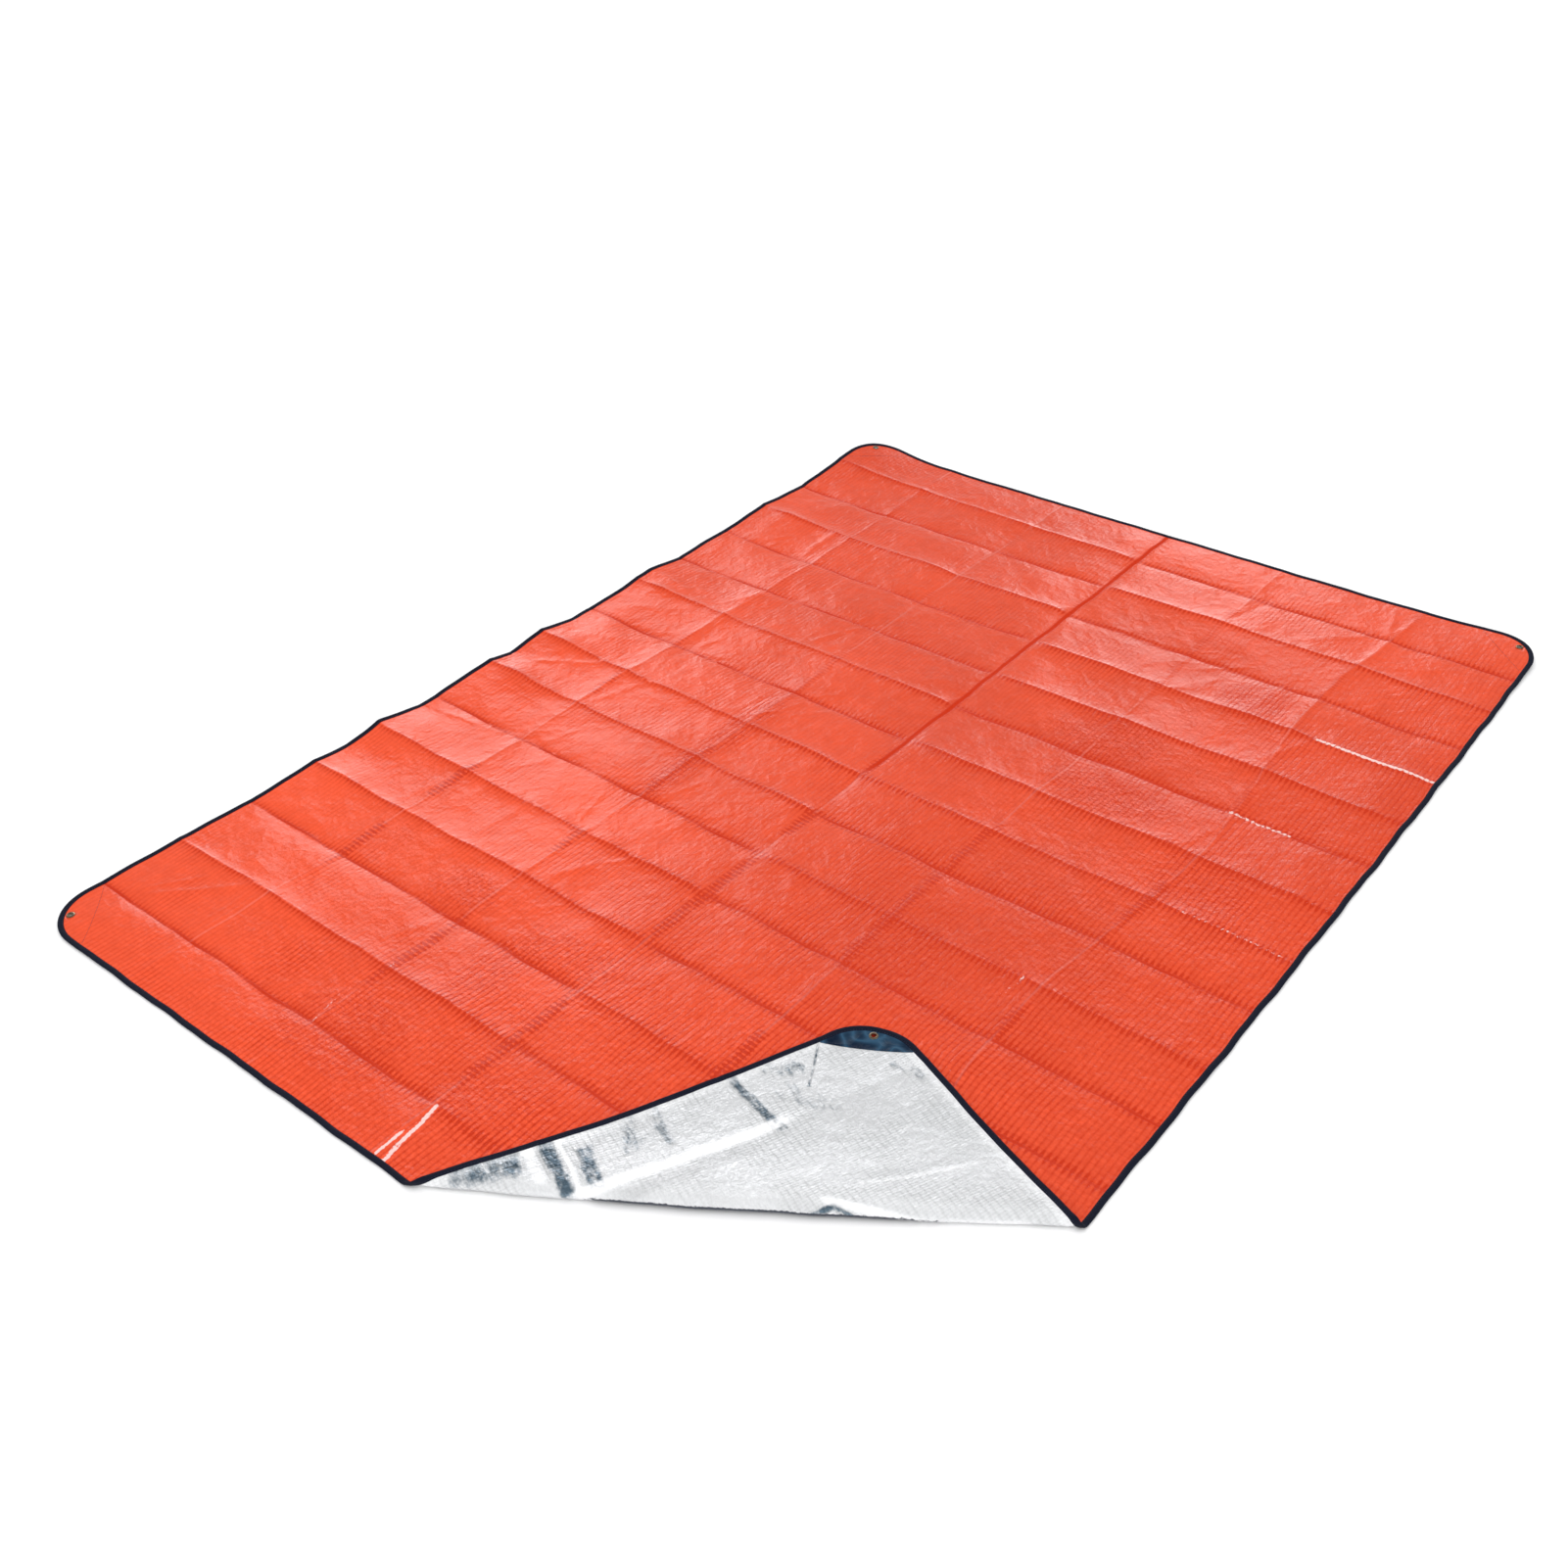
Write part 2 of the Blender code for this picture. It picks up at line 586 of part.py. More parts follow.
def add_eyelet(corner, material):
    """An eyelet turned about the cloth's own normal at the middle of its hole."""
    along, down = eyelet_centre(corner)
    centre = lay_out(along, down)
    axis = orange_side(along, down)
    across = lay_out(along + SLOPE_STEP, down) - lay_out(along - SLOPE_STEP, down)
    across = across - axis * (across @ axis)
    across = across / np.linalg.norm(across)
    third = np.cross(axis, across)
    angle = 2 * math.pi * (np.arange(BARREL_STEPS) + 0.5) / BARREL_STEPS
    spoke = np.cos(angle)[:, None] * across + np.sin(angle)[:, None] * third
    profile = eyelet_profile()
    points = np.concatenate([centre + radius * spoke + height * axis for radius, height in profile])
    faces = []
    for level in range(len(profile)):
        above = (level + 1) % len(profile)
        for step in range(BARREL_STEPS):
            after = (step + 1) % BARREL_STEPS
            faces.append((level * BARREL_STEPS + step, level * BARREL_STEPS + after,
                          above * BARREL_STEPS + after, above * BARREL_STEPS + step))
    return make_object("eyelet_" + corner.name, points, faces, material)


def add_material(name):
    red, green, blue, metallic, roughness = COLOURS[name]
    material = bpy.data.materials.new(name)
    material.use_nodes = True
    shader = material.node_tree.nodes["Principled BSDF"]
    shader.inputs["Base Color"].default_value = (red, green, blue, 1)
    shader.inputs["Metallic"].default_value = metallic
    shader.inputs["Roughness"].default_value = roughness
    return material


def main():
    for found in list(bpy.data.objects):
        bpy.data.objects.remove(found)
    material = {name: add_material(name) for name in COLOURS}
    flat, triangles, count = flat_cloth()
    add_sheet(flat, triangles, material["orange_laminate"])
    add_binding(flat, count, material["navy_tape"])
    for corner in CORNERS:
        add_patch(corner, flat, triangles, count, material["navy_patch"])
        add_eyelet(corner, material["eyelet_metal"])


main()
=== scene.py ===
"""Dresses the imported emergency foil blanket: thin creased laminate, sewn tape, corner patches and eyelets.

The cloth is drawn flat by two coordinates in metres: `along` runs beside the far edge from the far left
corner, and `down` runs from the far edge to the near one. lay_out() takes a point of the flat cloth to
where it lies, as the solids do, and every piece here is carried by it.
"""

import math

import bpy
import numpy as np
from bpy.props import FloatProperty, FloatVectorProperty, PointerProperty
from mathutils import Matrix
from mathutils.geometry import delaunay_2d_cdt


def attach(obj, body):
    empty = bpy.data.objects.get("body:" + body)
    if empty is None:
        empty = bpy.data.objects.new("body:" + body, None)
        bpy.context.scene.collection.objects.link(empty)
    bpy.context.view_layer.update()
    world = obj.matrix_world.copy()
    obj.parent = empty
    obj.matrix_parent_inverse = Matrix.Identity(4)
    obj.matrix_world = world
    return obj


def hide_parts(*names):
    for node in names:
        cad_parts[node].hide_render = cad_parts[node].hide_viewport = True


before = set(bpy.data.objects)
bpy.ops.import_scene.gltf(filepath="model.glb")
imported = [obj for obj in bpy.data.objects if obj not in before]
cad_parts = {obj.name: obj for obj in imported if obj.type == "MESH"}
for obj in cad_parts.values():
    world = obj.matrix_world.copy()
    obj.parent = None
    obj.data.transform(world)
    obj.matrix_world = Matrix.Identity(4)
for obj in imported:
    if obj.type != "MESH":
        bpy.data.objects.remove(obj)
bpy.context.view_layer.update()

bl_info = {
    "name": "Emergency Foil Blanket",
    "version": (1, 0, 0),
    "blender": (4, 5, 0),
    "location": "3D View > Sidebar > Blanket",
    "description": "Creased orange and silver laminate with a bound edge, corner patches and eyelets",
    "category": "Object",
}

MM = 0.001

# The cut cloth, as in the solids
LENGTH = 2.10
WIDTH = 1.50
CORNER_RADIUS = 0.085
HALF_SOLID = 0.75 * MM       # half the solid's thickness, which sets the height of the middle surface
HEM = 10 * MM
SEAM_BOW = 0.05              # of a patch's inner edge, as a share of its reach
EYELET_INSET = 16.5 * MM

# How it lies, as in the solids
DRAW_IN = 0.9935
FAR_BOW = 11 * MM            # the far edge is pulled in by this much at its middle
NEAR_BOW = 9 * MM
MIDDLE = (0.4 * MM, 5.1 * MM)
EDGE_LOFT = 1.3 * MM         # the bound edge lies on its tape
EDGE_REACH = 0.08
FLIP_REACH = 0.03            # folds across change from ridge to trough here, at the middle fold
MIDDLE_FOLD = WIDTH / 2
FOLD_START = (0.0, 0.812)    # where the turned-back fold leaves the left edge
FOLD_END = (0.456, WIDTH)
FOLD_BULGE = 8 * MM
ROLL_END = 6.5 * MM
ROLL_MIDDLE = 9.5 * MM
FLAP_LIFT = 5.6 * MM         # between the two layers' middles, past the roll
FLAP_SETTLE = 0.11
FLAP_TIP = (0.58, 0.300)     # along the fold and out from it
CALM_REACH = 0.09
FAR_WAVE_REACH = 0.19
CURL_REACH = 0.30

# What the thin cloth has of its own
LOFT = 3.6 * MM
FOLD_GAIN = 1.3              # how much taller its folds stand than the solid's
WRINKLE_GAIN = 1.4
CREASE_SHARES = np.array((0.15, 0.50, 0.35))
CREASE_REACHES = np.array((3.0, 17.0, 42.0)) * MM
RAW_EDGE = 1.2 * MM          # from the tape's outer fold in to the cut cloth
HOLE = 4.6 * MM              # radius of the hole cut for an eyelet
HOLE_SIDES = 24

# How the pieces are built
WALK_STEP = 3.5 * MM         # from point to point round the edge
PANEL_GRID = (15, 26, 0.72)  # columns and rows of points in each panel, and how they crowd to its folds
OFF_WRINKLES = 11 * MM       # that grid leaves the wrinkles to points of their own
MESH_CELL = 1.1 * MM         # no two points share a square of this size
LAYER_GAP = 0.05 * MM        # between one layer and the next
PATCH_CLOTH = 0.40 * MM
TUCK = 4 * MM                # how far in from the finished edge a patch starts, under the tape
RING_SIDES = 48              # of an eyelet
THREAD_SHARES = np.array((0.0, 0.25, 0.75, 1.0))     # where a stitch's four rings stand
THREAD_RADII = np.array((0.35, 1.0, 1.0, 0.35))      # and their radii, in threads
THREAD_SINK = np.array((-1.2, 0.1, 0.1, -1.2))       # and how far off the cloth, in threads
FLOOR_REACH = 30.0

# Where the photograph was taken from
CAMERA_PLACE = (-1.77541, -1.28160, 1.53372)
CAMERA_FORWARD = np.array((0.62950387, 0.51795499, -0.57917906))
CAMERA_RIGHT = np.array((0.62437356, -0.78087645, -0.01970556))

# Colours that no setting changes
WORN_AND_HIGHLIGHT_WHITE = (0.93, 0.70, 0.66)
GLINT = (0.98, 0.98, 0.99)
UNDER_ROLL_SHADE = (0.020, 0.028, 0.050)
PATCH_CREASE_HIGHLIGHT = (0.030, 0.085, 0.150)

# Folds across the cloth: far place, near place, rise in mm beyond and before the middle fold
FOLDS_ACROSS = np.array((
    (110, 112, -2.6, 1.6), (246, 252, 3, -2), (378, 375, -2.6, 2.2), (508, 512, 3.4, -2), (645, 644, 3.6, -2.2),
    (772, 768, -2.6, 2), (906, 904, 3.8, -2.4), (1036, 1030, 4.2, 2.4), (1164, 1162, -2.8, 3.2),
    (1298, 1300, 3.4, -2.6), (1424, 1432, -2.2, 3.4), (1566, 1568, -2, 3.8), (1700, 1690, 3.2, -2.6),
    (1832, 1830, -2.6, 3.6), (1972, 1952, 3.6, -2.6),
)) * (MM, MM, 1, 1)

# Folds along it: place, how far it wanders, over how long a wave, rise in mm at the left, middle and right
FOLDS_ALONG = np.array((
    (226, 7, 1.3, 1.2, 2.2, 1.4), (500, 4, 0.9, 0.8, 1.6, -1.2), (750, 0, 1, 1.2, -1.6, -2.4),
    (1000, 5, 1.1, 1, 0.8, 1.1), (1262, 18, 0.95, 1, 1.6, 2.8),
)) * (MM, MM, 1, 1, 1, 1)
RISE_PLACES = (0.25, 1.00, 1.70)

# Waves of the far edge: place and height in mm
FAR_WAVES = np.array((
    (0, 1.3), (250, 2.5), (378, 1.5), (508, 7), (575, 5), (650, 15), (735, 3), (904, 15), (955, 6), (1038, 16),
    (1115, 5), (1220, 7), (1335, 16), (1420, 6), (1560, 8), (1700, 14), (1835, 8), (1985, 15), (2100, 16),
)) * (MM, 1)

# Corners: name, 1 where it is at the right, 1 where it is near, patch reach along and down, curl
CORNERS = (
    ("far_left", 0, 0, 0.103, 0.103, 1.2 * MM),
    ("far_right", 1, 0, 0.103, 0.103, 15 * MM),
    ("near_right", 1, 1, 0.108, 0.103, 12 * MM),
    ("folded", 0, 1, 0.080, 0.092, 0.0),
)

# Soft ripples: how many waves, and the height of each as a share of its length
WAVES = 28
RIPPLE = 0.0011

# Lines on the flat cloth, all as start, end, reach to each side in mm, and strength. The first are the
# loose wrinkles between the folds, whose strength is their rise in mm.
WRINKLES = np.array((
    (125, 75, 250, 205, 8, 1.7), (135, 66, 215, 120, 6, 1), (520, 530, 605, 572, 8, 0.9),
    (600, 570, 635, 602, 6, 0.7), (655, 467, 750, 446, 5, 0.5), (688, 268, 765, 312, 9, 0.8),
    (775, 262, 850, 282, 8, 0.7), (742, 20, 766, 215, 7, 1.1), (952, 50, 990, 105, 8, 1.1),
    (988, 100, 1032, 172, 7, 1), (912, 234, 1030, 272, 9, 0.9), (780, 530, 865, 560, 8, 0.8),
    (525, 362, 642, 372, 11, 0.9), (275, 440, 375, 482, 10, 0.8), (1170, 258, 1245, 284, 7, 0.8),
    (1165, 215, 1184, 345, 7, 0.7), (1318, 418, 1390, 448, 6, 0.8), (1385, 446, 1432, 476, 6, 0.8),
    (1330, 445, 1410, 462, 5, -0.5), (1050, 490, 1105, 528, 5, 0.7), (1100, 526, 1165, 541, 5, 0.6),
    (1060, 470, 1140, 486, 5, -0.5), (1320, 192, 1425, 236, 8, 0.9), (1345, 10, 1322, 130, 7, 1.4),
    (1580, 196, 1720, 192, 10, 1.4), (2000, 680, 2085, 735, 11, 1), (1655, 1025, 1725, 1105, 8, 1),
    (1700, 800, 1706, 985, 9, 0.8), (1560, 1020, 1660, 1085, 11, 0.9), (1580, 1160, 1700, 1185, 9, 0.8),
    (1840, 1000, 1990, 1032, 9, -0.9), (1850, 1120, 1960, 1245, 12, 0.9), (1955, 1262, 2080, 1232, 8, 0.9),
    (1160, 1243, 1285, 1282, 8, 0.9), (1430, 1230, 1565, 1292, 9, 0.9), (1860, 1300, 1935, 1420, 8, 0.6),
    (1390, 985, 1460, 1012, 8, -0.9), (1450, 1010, 1560, 992, 8, 0.7), (1250, 975, 1420, 1000, 9, 0.6),
    (520, 196, 645, 226, 8, 0.8), (130, 208, 245, 206, 3, 0.5), (130, 222, 240, 221, 3, 0.5),
    (385, 214, 505, 214, 4, 0.6), (1070, 40, 1150, 190, 10, 0.6), (1200, 30, 1280, 170, 10, 0.6),
    (560, 1100, 640, 1160, 9, 0.7), (800, 1060, 900, 1000, 9, 0.7), (915, 860, 1020, 930, 9, 0.6),
    (660, 880, 760, 820, 8, 0.6),
)) * (MM, MM, MM, MM, 1, 1)

# Worn white lines
WORN_LINES = np.array((
    (4, 774.5, 112, 757, 4, 1.5), (10, 757, 56, 756, 3.5, 1.3), (1566.5, 1290, 1568, 1495, 4.5, 1.25),
    (1300, 1262, 1300, 1370, 4.5, 0.85), (1318, 1340, 1318, 1490, 3.5, 0.3), (1431, 1260, 1432, 1440, 3, 0.35),
    (1031, 1310, 1030, 1495, 4, 0.5), (1162, 1250, 1162, 1490, 3.5, 0.3), (720, 1212, 775, 1218, 3.5, 0.55),
    (110, 505, 175, 489, 2.5, 0.5), (245, 506, 272, 500, 2.5, 0.5), (1300, 790, 1300, 845, 3, 0.25),
)) * (MM, MM, MM, MM, 1, 1)

# Where the scrim shows most through the film: centre, reach along and down
NETTED = np.array((
    (170, 370, 50, 60), (120, 560, 90, 140), (150, 820, 90, 100), (430, 460, 50, 70), (190, 280, 50, 70),
    (440, 270, 60, 30), (330, 620, 100, 50), (420, 700, 50, 120), (700, 1050, 120, 80), (1230, 1100, 60, 120),
    (1100, 1320, 100, 100), (1620, 1160, 70, 60), (620, 240, 60, 20), (1020, 500, 120, 30), (850, 500, 100, 30),
    (1360, 1020, 80, 100),
)) * MM

# Rumpled film on the folded-back corner, with a painted dark blue reflection
RUMPLES = np.array((
    (10, 885, 26, 965, 24, 0.95), (-4, 1010, 100, 1003, 10, 1.15), (40, 1047, 106, 1038, 11, 0.95),
    (6, 1118, 66, 1100, 13, 0.62), (4, 1156, 74, 1150, 8, 0.66), (40, 1165, 56, 1120, 12, 0.42),
    (10, 1266, 114, 1281, 7, 1), (14, 1312, 42, 1352, 14, 0.62), (12, 1394, 70, 1348, 1.6, 0.8),
    (60, 1310, 122, 1360, 20, 0.42), (92, 1460, 134, 1480, 8, 0.55), (262, 1244, 266, 1272, 4, 1.2),
    (266, 1272, 290, 1284, 3.5, 1.2),
)) * (MM, MM, MM, MM, 1, 1)

# Painted highlights on the silver film, and painted shade where it is dull: there the strength is below 0
SHEENS = np.array((
    (108, 1020, 108, 1275, 9, 1), (134, 1070, 130, 1220, 10, -0.8), (0, 1026, 104, 1018, 2.5, 1),
    (4, 985, 66, 980, 7, 0.7), (170, 1100, 255, 1225, 4, 0.7), (258, 1272, 344, 1352, 6, 0.9),
    (344, 1352, 405, 1440, 8, 0.9), (272, 1260, 284, 1268, 4, 1), (252, 1320, 292, 1450, 4, 0.6),
    (244, 1330, 280, 1452, 8, -0.5),
)) * (MM, MM, MM, MM, 1, 1)


def ease(share):
    """A soft step from 0 to 1: 3 s^2 - 2 s^3 of a share held between 0 and 1."""
    held = np.clip(share, 0.0, 1.0)
    return held * held * (3 - 2 * held)


def unit(vectors):
    """The same ways with a length of 1."""
    return vectors / np.linalg.norm(vectors, axis=-1, keepdims=True)


def spokes(angle):
    """Ways from a circle's centre: (cos, sin)."""
    return np.stack((np.cos(angle), np.sin(angle)), axis=-1)


def distances(line):
    """How far each point of a line lies along it."""
    return np.concatenate(([0.0], np.cumsum(np.linalg.norm(np.diff(line, axis=0), axis=1))))


def apart_from(points, centre, reach):
    """The points that lie more than reach from a centre."""
    return points[np.linalg.norm(points - centre, axis=1) > reach]


def crease(distance):
    """A fold's height as a share: the sum of three exponentials of the distance from it."""
    away = np.abs(distance)
    return (CREASE_SHARES * np.exp(-away[..., None] / CREASE_REACHES)).sum(axis=-1)


def wander(place, numbers):
    """How far each fold strays from its line there: two sines of its own phase, 0.8 and 0.4 mm high."""
    place = np.asarray(place)[..., None]
    return MM * (0.8 * np.sin(27.0 * place + 2.4 * numbers) + 0.4 * np.sin(71.0 * place + 1.7 * numbers))


def places_across(down):
    """Where each fold across the cloth runs: on a straight line from its far place to its near one."""
    far, near = FOLDS_ACROSS[:, 0], FOLDS_ACROSS[:, 1]
    return far + (near - far) * np.asarray(down)[..., None] / WIDTH + wander(down, np.arange(len(far)))


def places_along(along):
    """Where each fold along the cloth runs: its place, and a slow sine either side of it."""
    place, swing, wave = FOLDS_ALONG[:, 0], FOLDS_ALONG[:, 1], FOLDS_ALONG[:, 2]
    lines = place + swing * np.sin(2 * math.pi * np.asarray(along)[..., None] / wave)
    return lines + wander(along, np.arange(len(place)) + 20)


FOLD_LENGTH = math.dist(FOLD_START, FOLD_END)
RUN_WAY = ((FOLD_END[0] - FOLD_START[0]) / FOLD_LENGTH, (FOLD_END[1] - FOLD_START[1]) / FOLD_LENGTH)
OUT_WAY = (-RUN_WAY[1], RUN_WAY[0])


def arch(run):
    """0 at both ends of the turned-back fold and 1 at its middle: 4 s (1 - s)."""
    share = np.clip(run / FOLD_LENGTH, 0.0, 1.0)
    return 4 * share * (1 - share)


def roll_radius(run):
    """Radius of the half turn: ROLL_END at the ends, ROLL_MIDDLE at the middle."""
    return ROLL_END + (ROLL_MIDDLE - ROLL_END) * arch(run)


def from_fold(along, down):
    """The run along the turned-back fold and the distance out from its straight chord."""
    right = along - FOLD_START[0]
    near = down - FOLD_START[1]
    return right * RUN_WAY[0] + near * RUN_WAY[1], right * OUT_WAY[0] + near * OUT_WAY[1]


def to_flat(run, out):
    """The flat cloth's coordinates of a place given by run and out."""
    return (FOLD_START[0] + run * RUN_WAY[0] + out * OUT_WAY[0],
            FOLD_START[1] + run * RUN_WAY[1] + out * OUT_WAY[1])


def inside_edge(along, down):
    """How far a place lies inside the finished edge, round corners included; below 0 outside it."""
    past_along = np.abs(along - LENGTH / 2) - LENGTH / 2 + CORNER_RADIUS
    past_down = np.abs(down - WIDTH / 2) - WIDTH / 2 + CORNER_RADIUS
    rounded = (past_along > 0) & (past_down > 0)
    return CORNER_RADIUS - np.where(rounded, np.hypot(past_along, past_down), np.maximum(past_along, past_down))


def along_line(along, down, line):
    """For a straight line on the flat cloth: share of the way along it, and distance off it."""
    length = math.dist(line[:2], line[2:4])
    right, near = (line[2:4] - line[:2]) / length
    along, down = along - line[0], down - line[1]
    return (along * right + down * near) / length, along * near - down * right


def strokes(along, down, lines, fade, past, profile):
    """One row for each line of a table: strength * profile(distance / reach), eased in and out over its ends."""
    rows = []
    for line in lines:
        share, off = along_line(along, down, line)
        ends = ease(share / fade + past) * ease((1 - share) / fade + past)
        rows.append(line[5] * profile(np.abs(off) / (line[4] * MM)) * ends)
    return np.array(rows)


def band(away):
    """A stroke's profile: 1 to half its reach, and softly down to 0 at one and a half."""
    return ease(1.5 - away)


def unevenness(along, down):
    """Soft ripples of cloth and ground: the sum of WAVES plane sine waves.

    Their lengths run from 55 to 420 mm, and their ways and phases come from a seeded generator. Each
    is as high as its length times a small slope.
    """
    random = np.random.default_rng(11)
    length = np.geomspace(0.055, 0.42, WAVES)
    angle = random.uniform(0, 2 * math.pi, WAVES)
    phase = random.uniform(0, 2 * math.pi, WAVES)
    height = np.zeros(np.shape(along))
    for wave in range(WAVES):
        across = along * math.cos(angle[wave]) + down * math.sin(angle[wave])
        height = height + RIPPLE * length[wave] * np.sin(2 * math.pi * across / length[wave] + phase[wave])
    return height


def rises_across(down):
    """Rise in mm of each fold across the cloth, which changes where the middle fold crosses it."""
    beyond, before = FOLDS_ACROSS[:, 2], FOLDS_ACROSS[:, 3]
    return beyond + (before - beyond) * ease((down - MIDDLE_FOLD) / FLIP_REACH / 2 + 0.5)[..., None]


def relief(along, down):
    """Height of the cloth's underside above the ground, before anything is folded back.

    Each fold adds rise * crease(distance), the far edge its waves, each corner its curl, and the
    loose wrinkles theirs. All of it fades to the tape's height at the edges and to 0 under the flap.
    """
    rise = rises_across(down) * (1 + 0.22 * np.sin(19.0 * down[..., None] + 2.1 * np.arange(len(FOLDS_ACROSS))))
    gain = FOLD_GAIN * (1 + 0.6 * np.clip(1 - down / 0.4, 0.0, 1.0))
    height = LOFT + gain * MM * (rise * crease(along[..., None] - places_across(down))).sum(axis=-1)
    for number, fold in enumerate(FOLDS_ALONG):
        rise = np.interp(along, RISE_PLACES, fold[3:6]) * (1 + 0.25 * np.sin(21.0 * along + 2.9 * number))
        height = height + FOLD_GAIN * MM * rise * crease(down - places_along(along)[..., number])
    loose = strokes(along, down, WRINKLES, 0.3, 0.15, lambda away: np.exp(-away)).sum(axis=0)
    height = height + unevenness(along, down) + WRINKLE_GAIN * MM * loose

    to_edge = inside_edge(along, down)
    inside = ease(to_edge / EDGE_REACH)
    height = EDGE_LOFT + (height - EDGE_LOFT) * (0.25 + 0.75 * inside)
    waves = MM * np.interp(along, FAR_WAVES[:, 0], FAR_WAVES[:, 1])
    at_far_edge = np.clip(1 - down / FAR_WAVE_REACH, 0.0, 1.0) ** 2
    height = height + (waves - EDGE_LOFT) * at_far_edge
    for _, right, near, _, _, curl in CORNERS:
        reach = np.hypot(along - right * LENGTH, down - near * WIDTH)
        height = height + curl * np.clip(1 - reach / CURL_REACH, 0.0, 1.0) ** 2

    run, out = from_fold(along, down)
    tip_run, tip_out = FLAP_TIP
    covered = np.interp(run, (0, tip_run, FOLD_LENGTH, FOLD_LENGTH + 0.3), (0, tip_out, 0, -0.3))
    covered = np.where(run < 0, run, covered)
    calm = ease((-out - covered) / CALM_REACH + 0.2)
    on_tape = EDGE_LOFT * ease(2 - to_edge / HEM)
    return np.maximum(height * calm, on_tape)


def flap_folds(along, down):
    """Extra height of the folded-back corner where the cloth's own folds and rumples cross it."""
    rise = (1.4 + 2.6 * crease(down - 1.0) - 1.2 * crease(down - 1.25) + 1.4 * crease(along - 0.112)
            + 0.5 * np.sin(60 * along + 25 * down) * np.exp(-((down - 0.92) / 0.06) ** 2)
            + 0.35 * np.sin(45 * along - 30 * down + 1.0) + 0.25 * np.sin(-20 * along + 62 * down))
    return MM * rise


def lay_out(along, down):
    """Where points of the flat cloth lie, on the middle of its thickness.

    Past the fold the cloth turns over in half a circle and comes back over itself, at a height that
    falls from the roll's own to FLAP_LIFT. Its footprint is then drawn in, bowed and made a little wavy.
    """
    along = np.asarray(along, dtype=float)
    down = np.asarray(down, dtype=float)
    run, out = from_fold(along, down)
    bulge = FOLD_BULGE * arch(run)
    radius = roll_radius(run)
    beyond = out - bulge
    turn = np.clip(beyond / radius, 0.0, math.pi)
    back = np.maximum(beyond - math.pi * radius, 0.0)
    foot_along, foot_down = to_flat(run, bulge + np.minimum(beyond, 0.0) + radius * np.sin(turn) - back)

    settled = ease(back / FLAP_SETTLE)
    rise = radius * (1 - np.cos(turn)) + (FLAP_LIFT - 2 * radius) * settled
    rise = rise + flap_folds(along, down) * settled
    height = relief(foot_along, foot_down) + HALF_SOLID + rise

    bow = np.sin(math.pi * np.clip(foot_along / LENGTH, 0.0, 1.0))
    pull = NEAR_BOW * (foot_down / WIDTH) ** 2 + FAR_BOW * (1 - foot_down / WIDTH) ** 2
    near_corner = np.hypot(LENGTH / 2 - np.abs(along - LENGTH / 2), WIDTH / 2 - np.abs(down - WIDTH / 2))
    loose = MM * ease(near_corner / 0.22)
    x = (foot_along - LENGTH / 2) * DRAW_IN + MIDDLE[0]
    x = x + loose * (0.6 * np.sin(43.0 * down + 5.0 * along) + 0.3 * np.sin(97.0 * down + 11.0 * along + 1.0))
    y = WIDTH / 2 - foot_down - bow * pull + MIDDLE[1]
    y = y + loose * (0.8 * np.sin(37.0 * along + 7.0 * down + 2.0) + 0.4 * np.sin(89.0 * along + 5.0 * down))
    return np.stack((x, y, height), axis=-1)


def orange_side(along, down):
    """Unit normals on the orange side: the cross product of the laid cloth's two slopes."""
    step = 1.5 * MM
    slope_along = lay_out(along + step, down) - lay_out(along - step, down)
    slope_down = lay_out(along, down + step) - lay_out(along, down - step)
    return unit(np.cross(slope_down, slope_along))


def edge_walk():
    """A closed walk round the finished edge: points, ways inward and the distance walked."""
    start, way = np.array((CORNER_RADIUS, 0.0)), np.array((1.0, 0.0))
    points, inward = [], []
    for side in (LENGTH, WIDTH, LENGTH, WIDTH):
        length = side - 2 * CORNER_RADIUS
        inner = np.array((-way[1], way[0]))
        count = max(1, round(length / WALK_STEP))
        points.append(start + way * length * np.arange(count)[:, None] / count)
        inward.append(np.tile(inner, (count, 1)))
        count = max(1, round(CORNER_RADIUS * math.pi / 2 / WALK_STEP))
        angle = math.atan2(way[1], way[0]) - math.pi / 2 + math.pi / 2 * np.arange(count) / count
        outward = spokes(angle)
        centre = start + way * length + CORNER_RADIUS * inner
        points.append(centre + CORNER_RADIUS * outward)
        inward.append(-outward)
        start, way = centre + CORNER_RADIUS * way, inner
    points, inward = np.concatenate(points), np.concatenate(inward)
    return points, inward, distances(np.concatenate((points, points[:1])))


def walk_on(line, walked, at):
    """Points of a line at the distances `at` walked along it."""
    return np.stack([np.interp(at, walked, side) for side in line.T], axis=-1)


def ring(centre, radius, steps):
    """Points of a circle on the flat cloth: centre + radius * (cos, sin)."""
    angle = 2 * math.pi * (np.arange(steps) + 0.5) / steps
    return np.asarray(centre) + radius * spokes(angle)


def eyelet_centre(corner):
    """An eyelet's centre on the flat cloth: on the corner's diagonal, EYELET_INSET inside the arc."""
    right, near = corner[1:3]
    reach = CORNER_RADIUS - (CORNER_RADIUS - EYELET_INSET) * math.sqrt(0.5)
    return np.array((abs(right * LENGTH - reach), abs(near * WIDTH - reach)))


def spread(panels, columns, crowding):
    """Places over a row of panels, crowded towards the folds: t - crowding * sin(2 pi t) / (2 pi) in each."""
    share = np.arange(columns) / columns
    share = share - crowding * np.sin(2 * math.pi * share) / (2 * math.pi)
    return (np.arange(panels)[:, None] + share[None, :]).reshape(-1)[1:]


def among(folds, length, panel):
    """Where a panel's number and part, such as 2.5, falls between the cloth's two edges and its folds."""
    edge = np.zeros((*panel.shape, 1))
    ends = np.concatenate((edge, folds, edge + length), axis=-1)
    whole = np.floor(panel).astype(int)[..., None]
    first, last = (np.take_along_axis(ends, number, axis=-1)[..., 0] for number in (whole, whole + 1))
    return first + (last - first) * (panel - whole[..., 0])


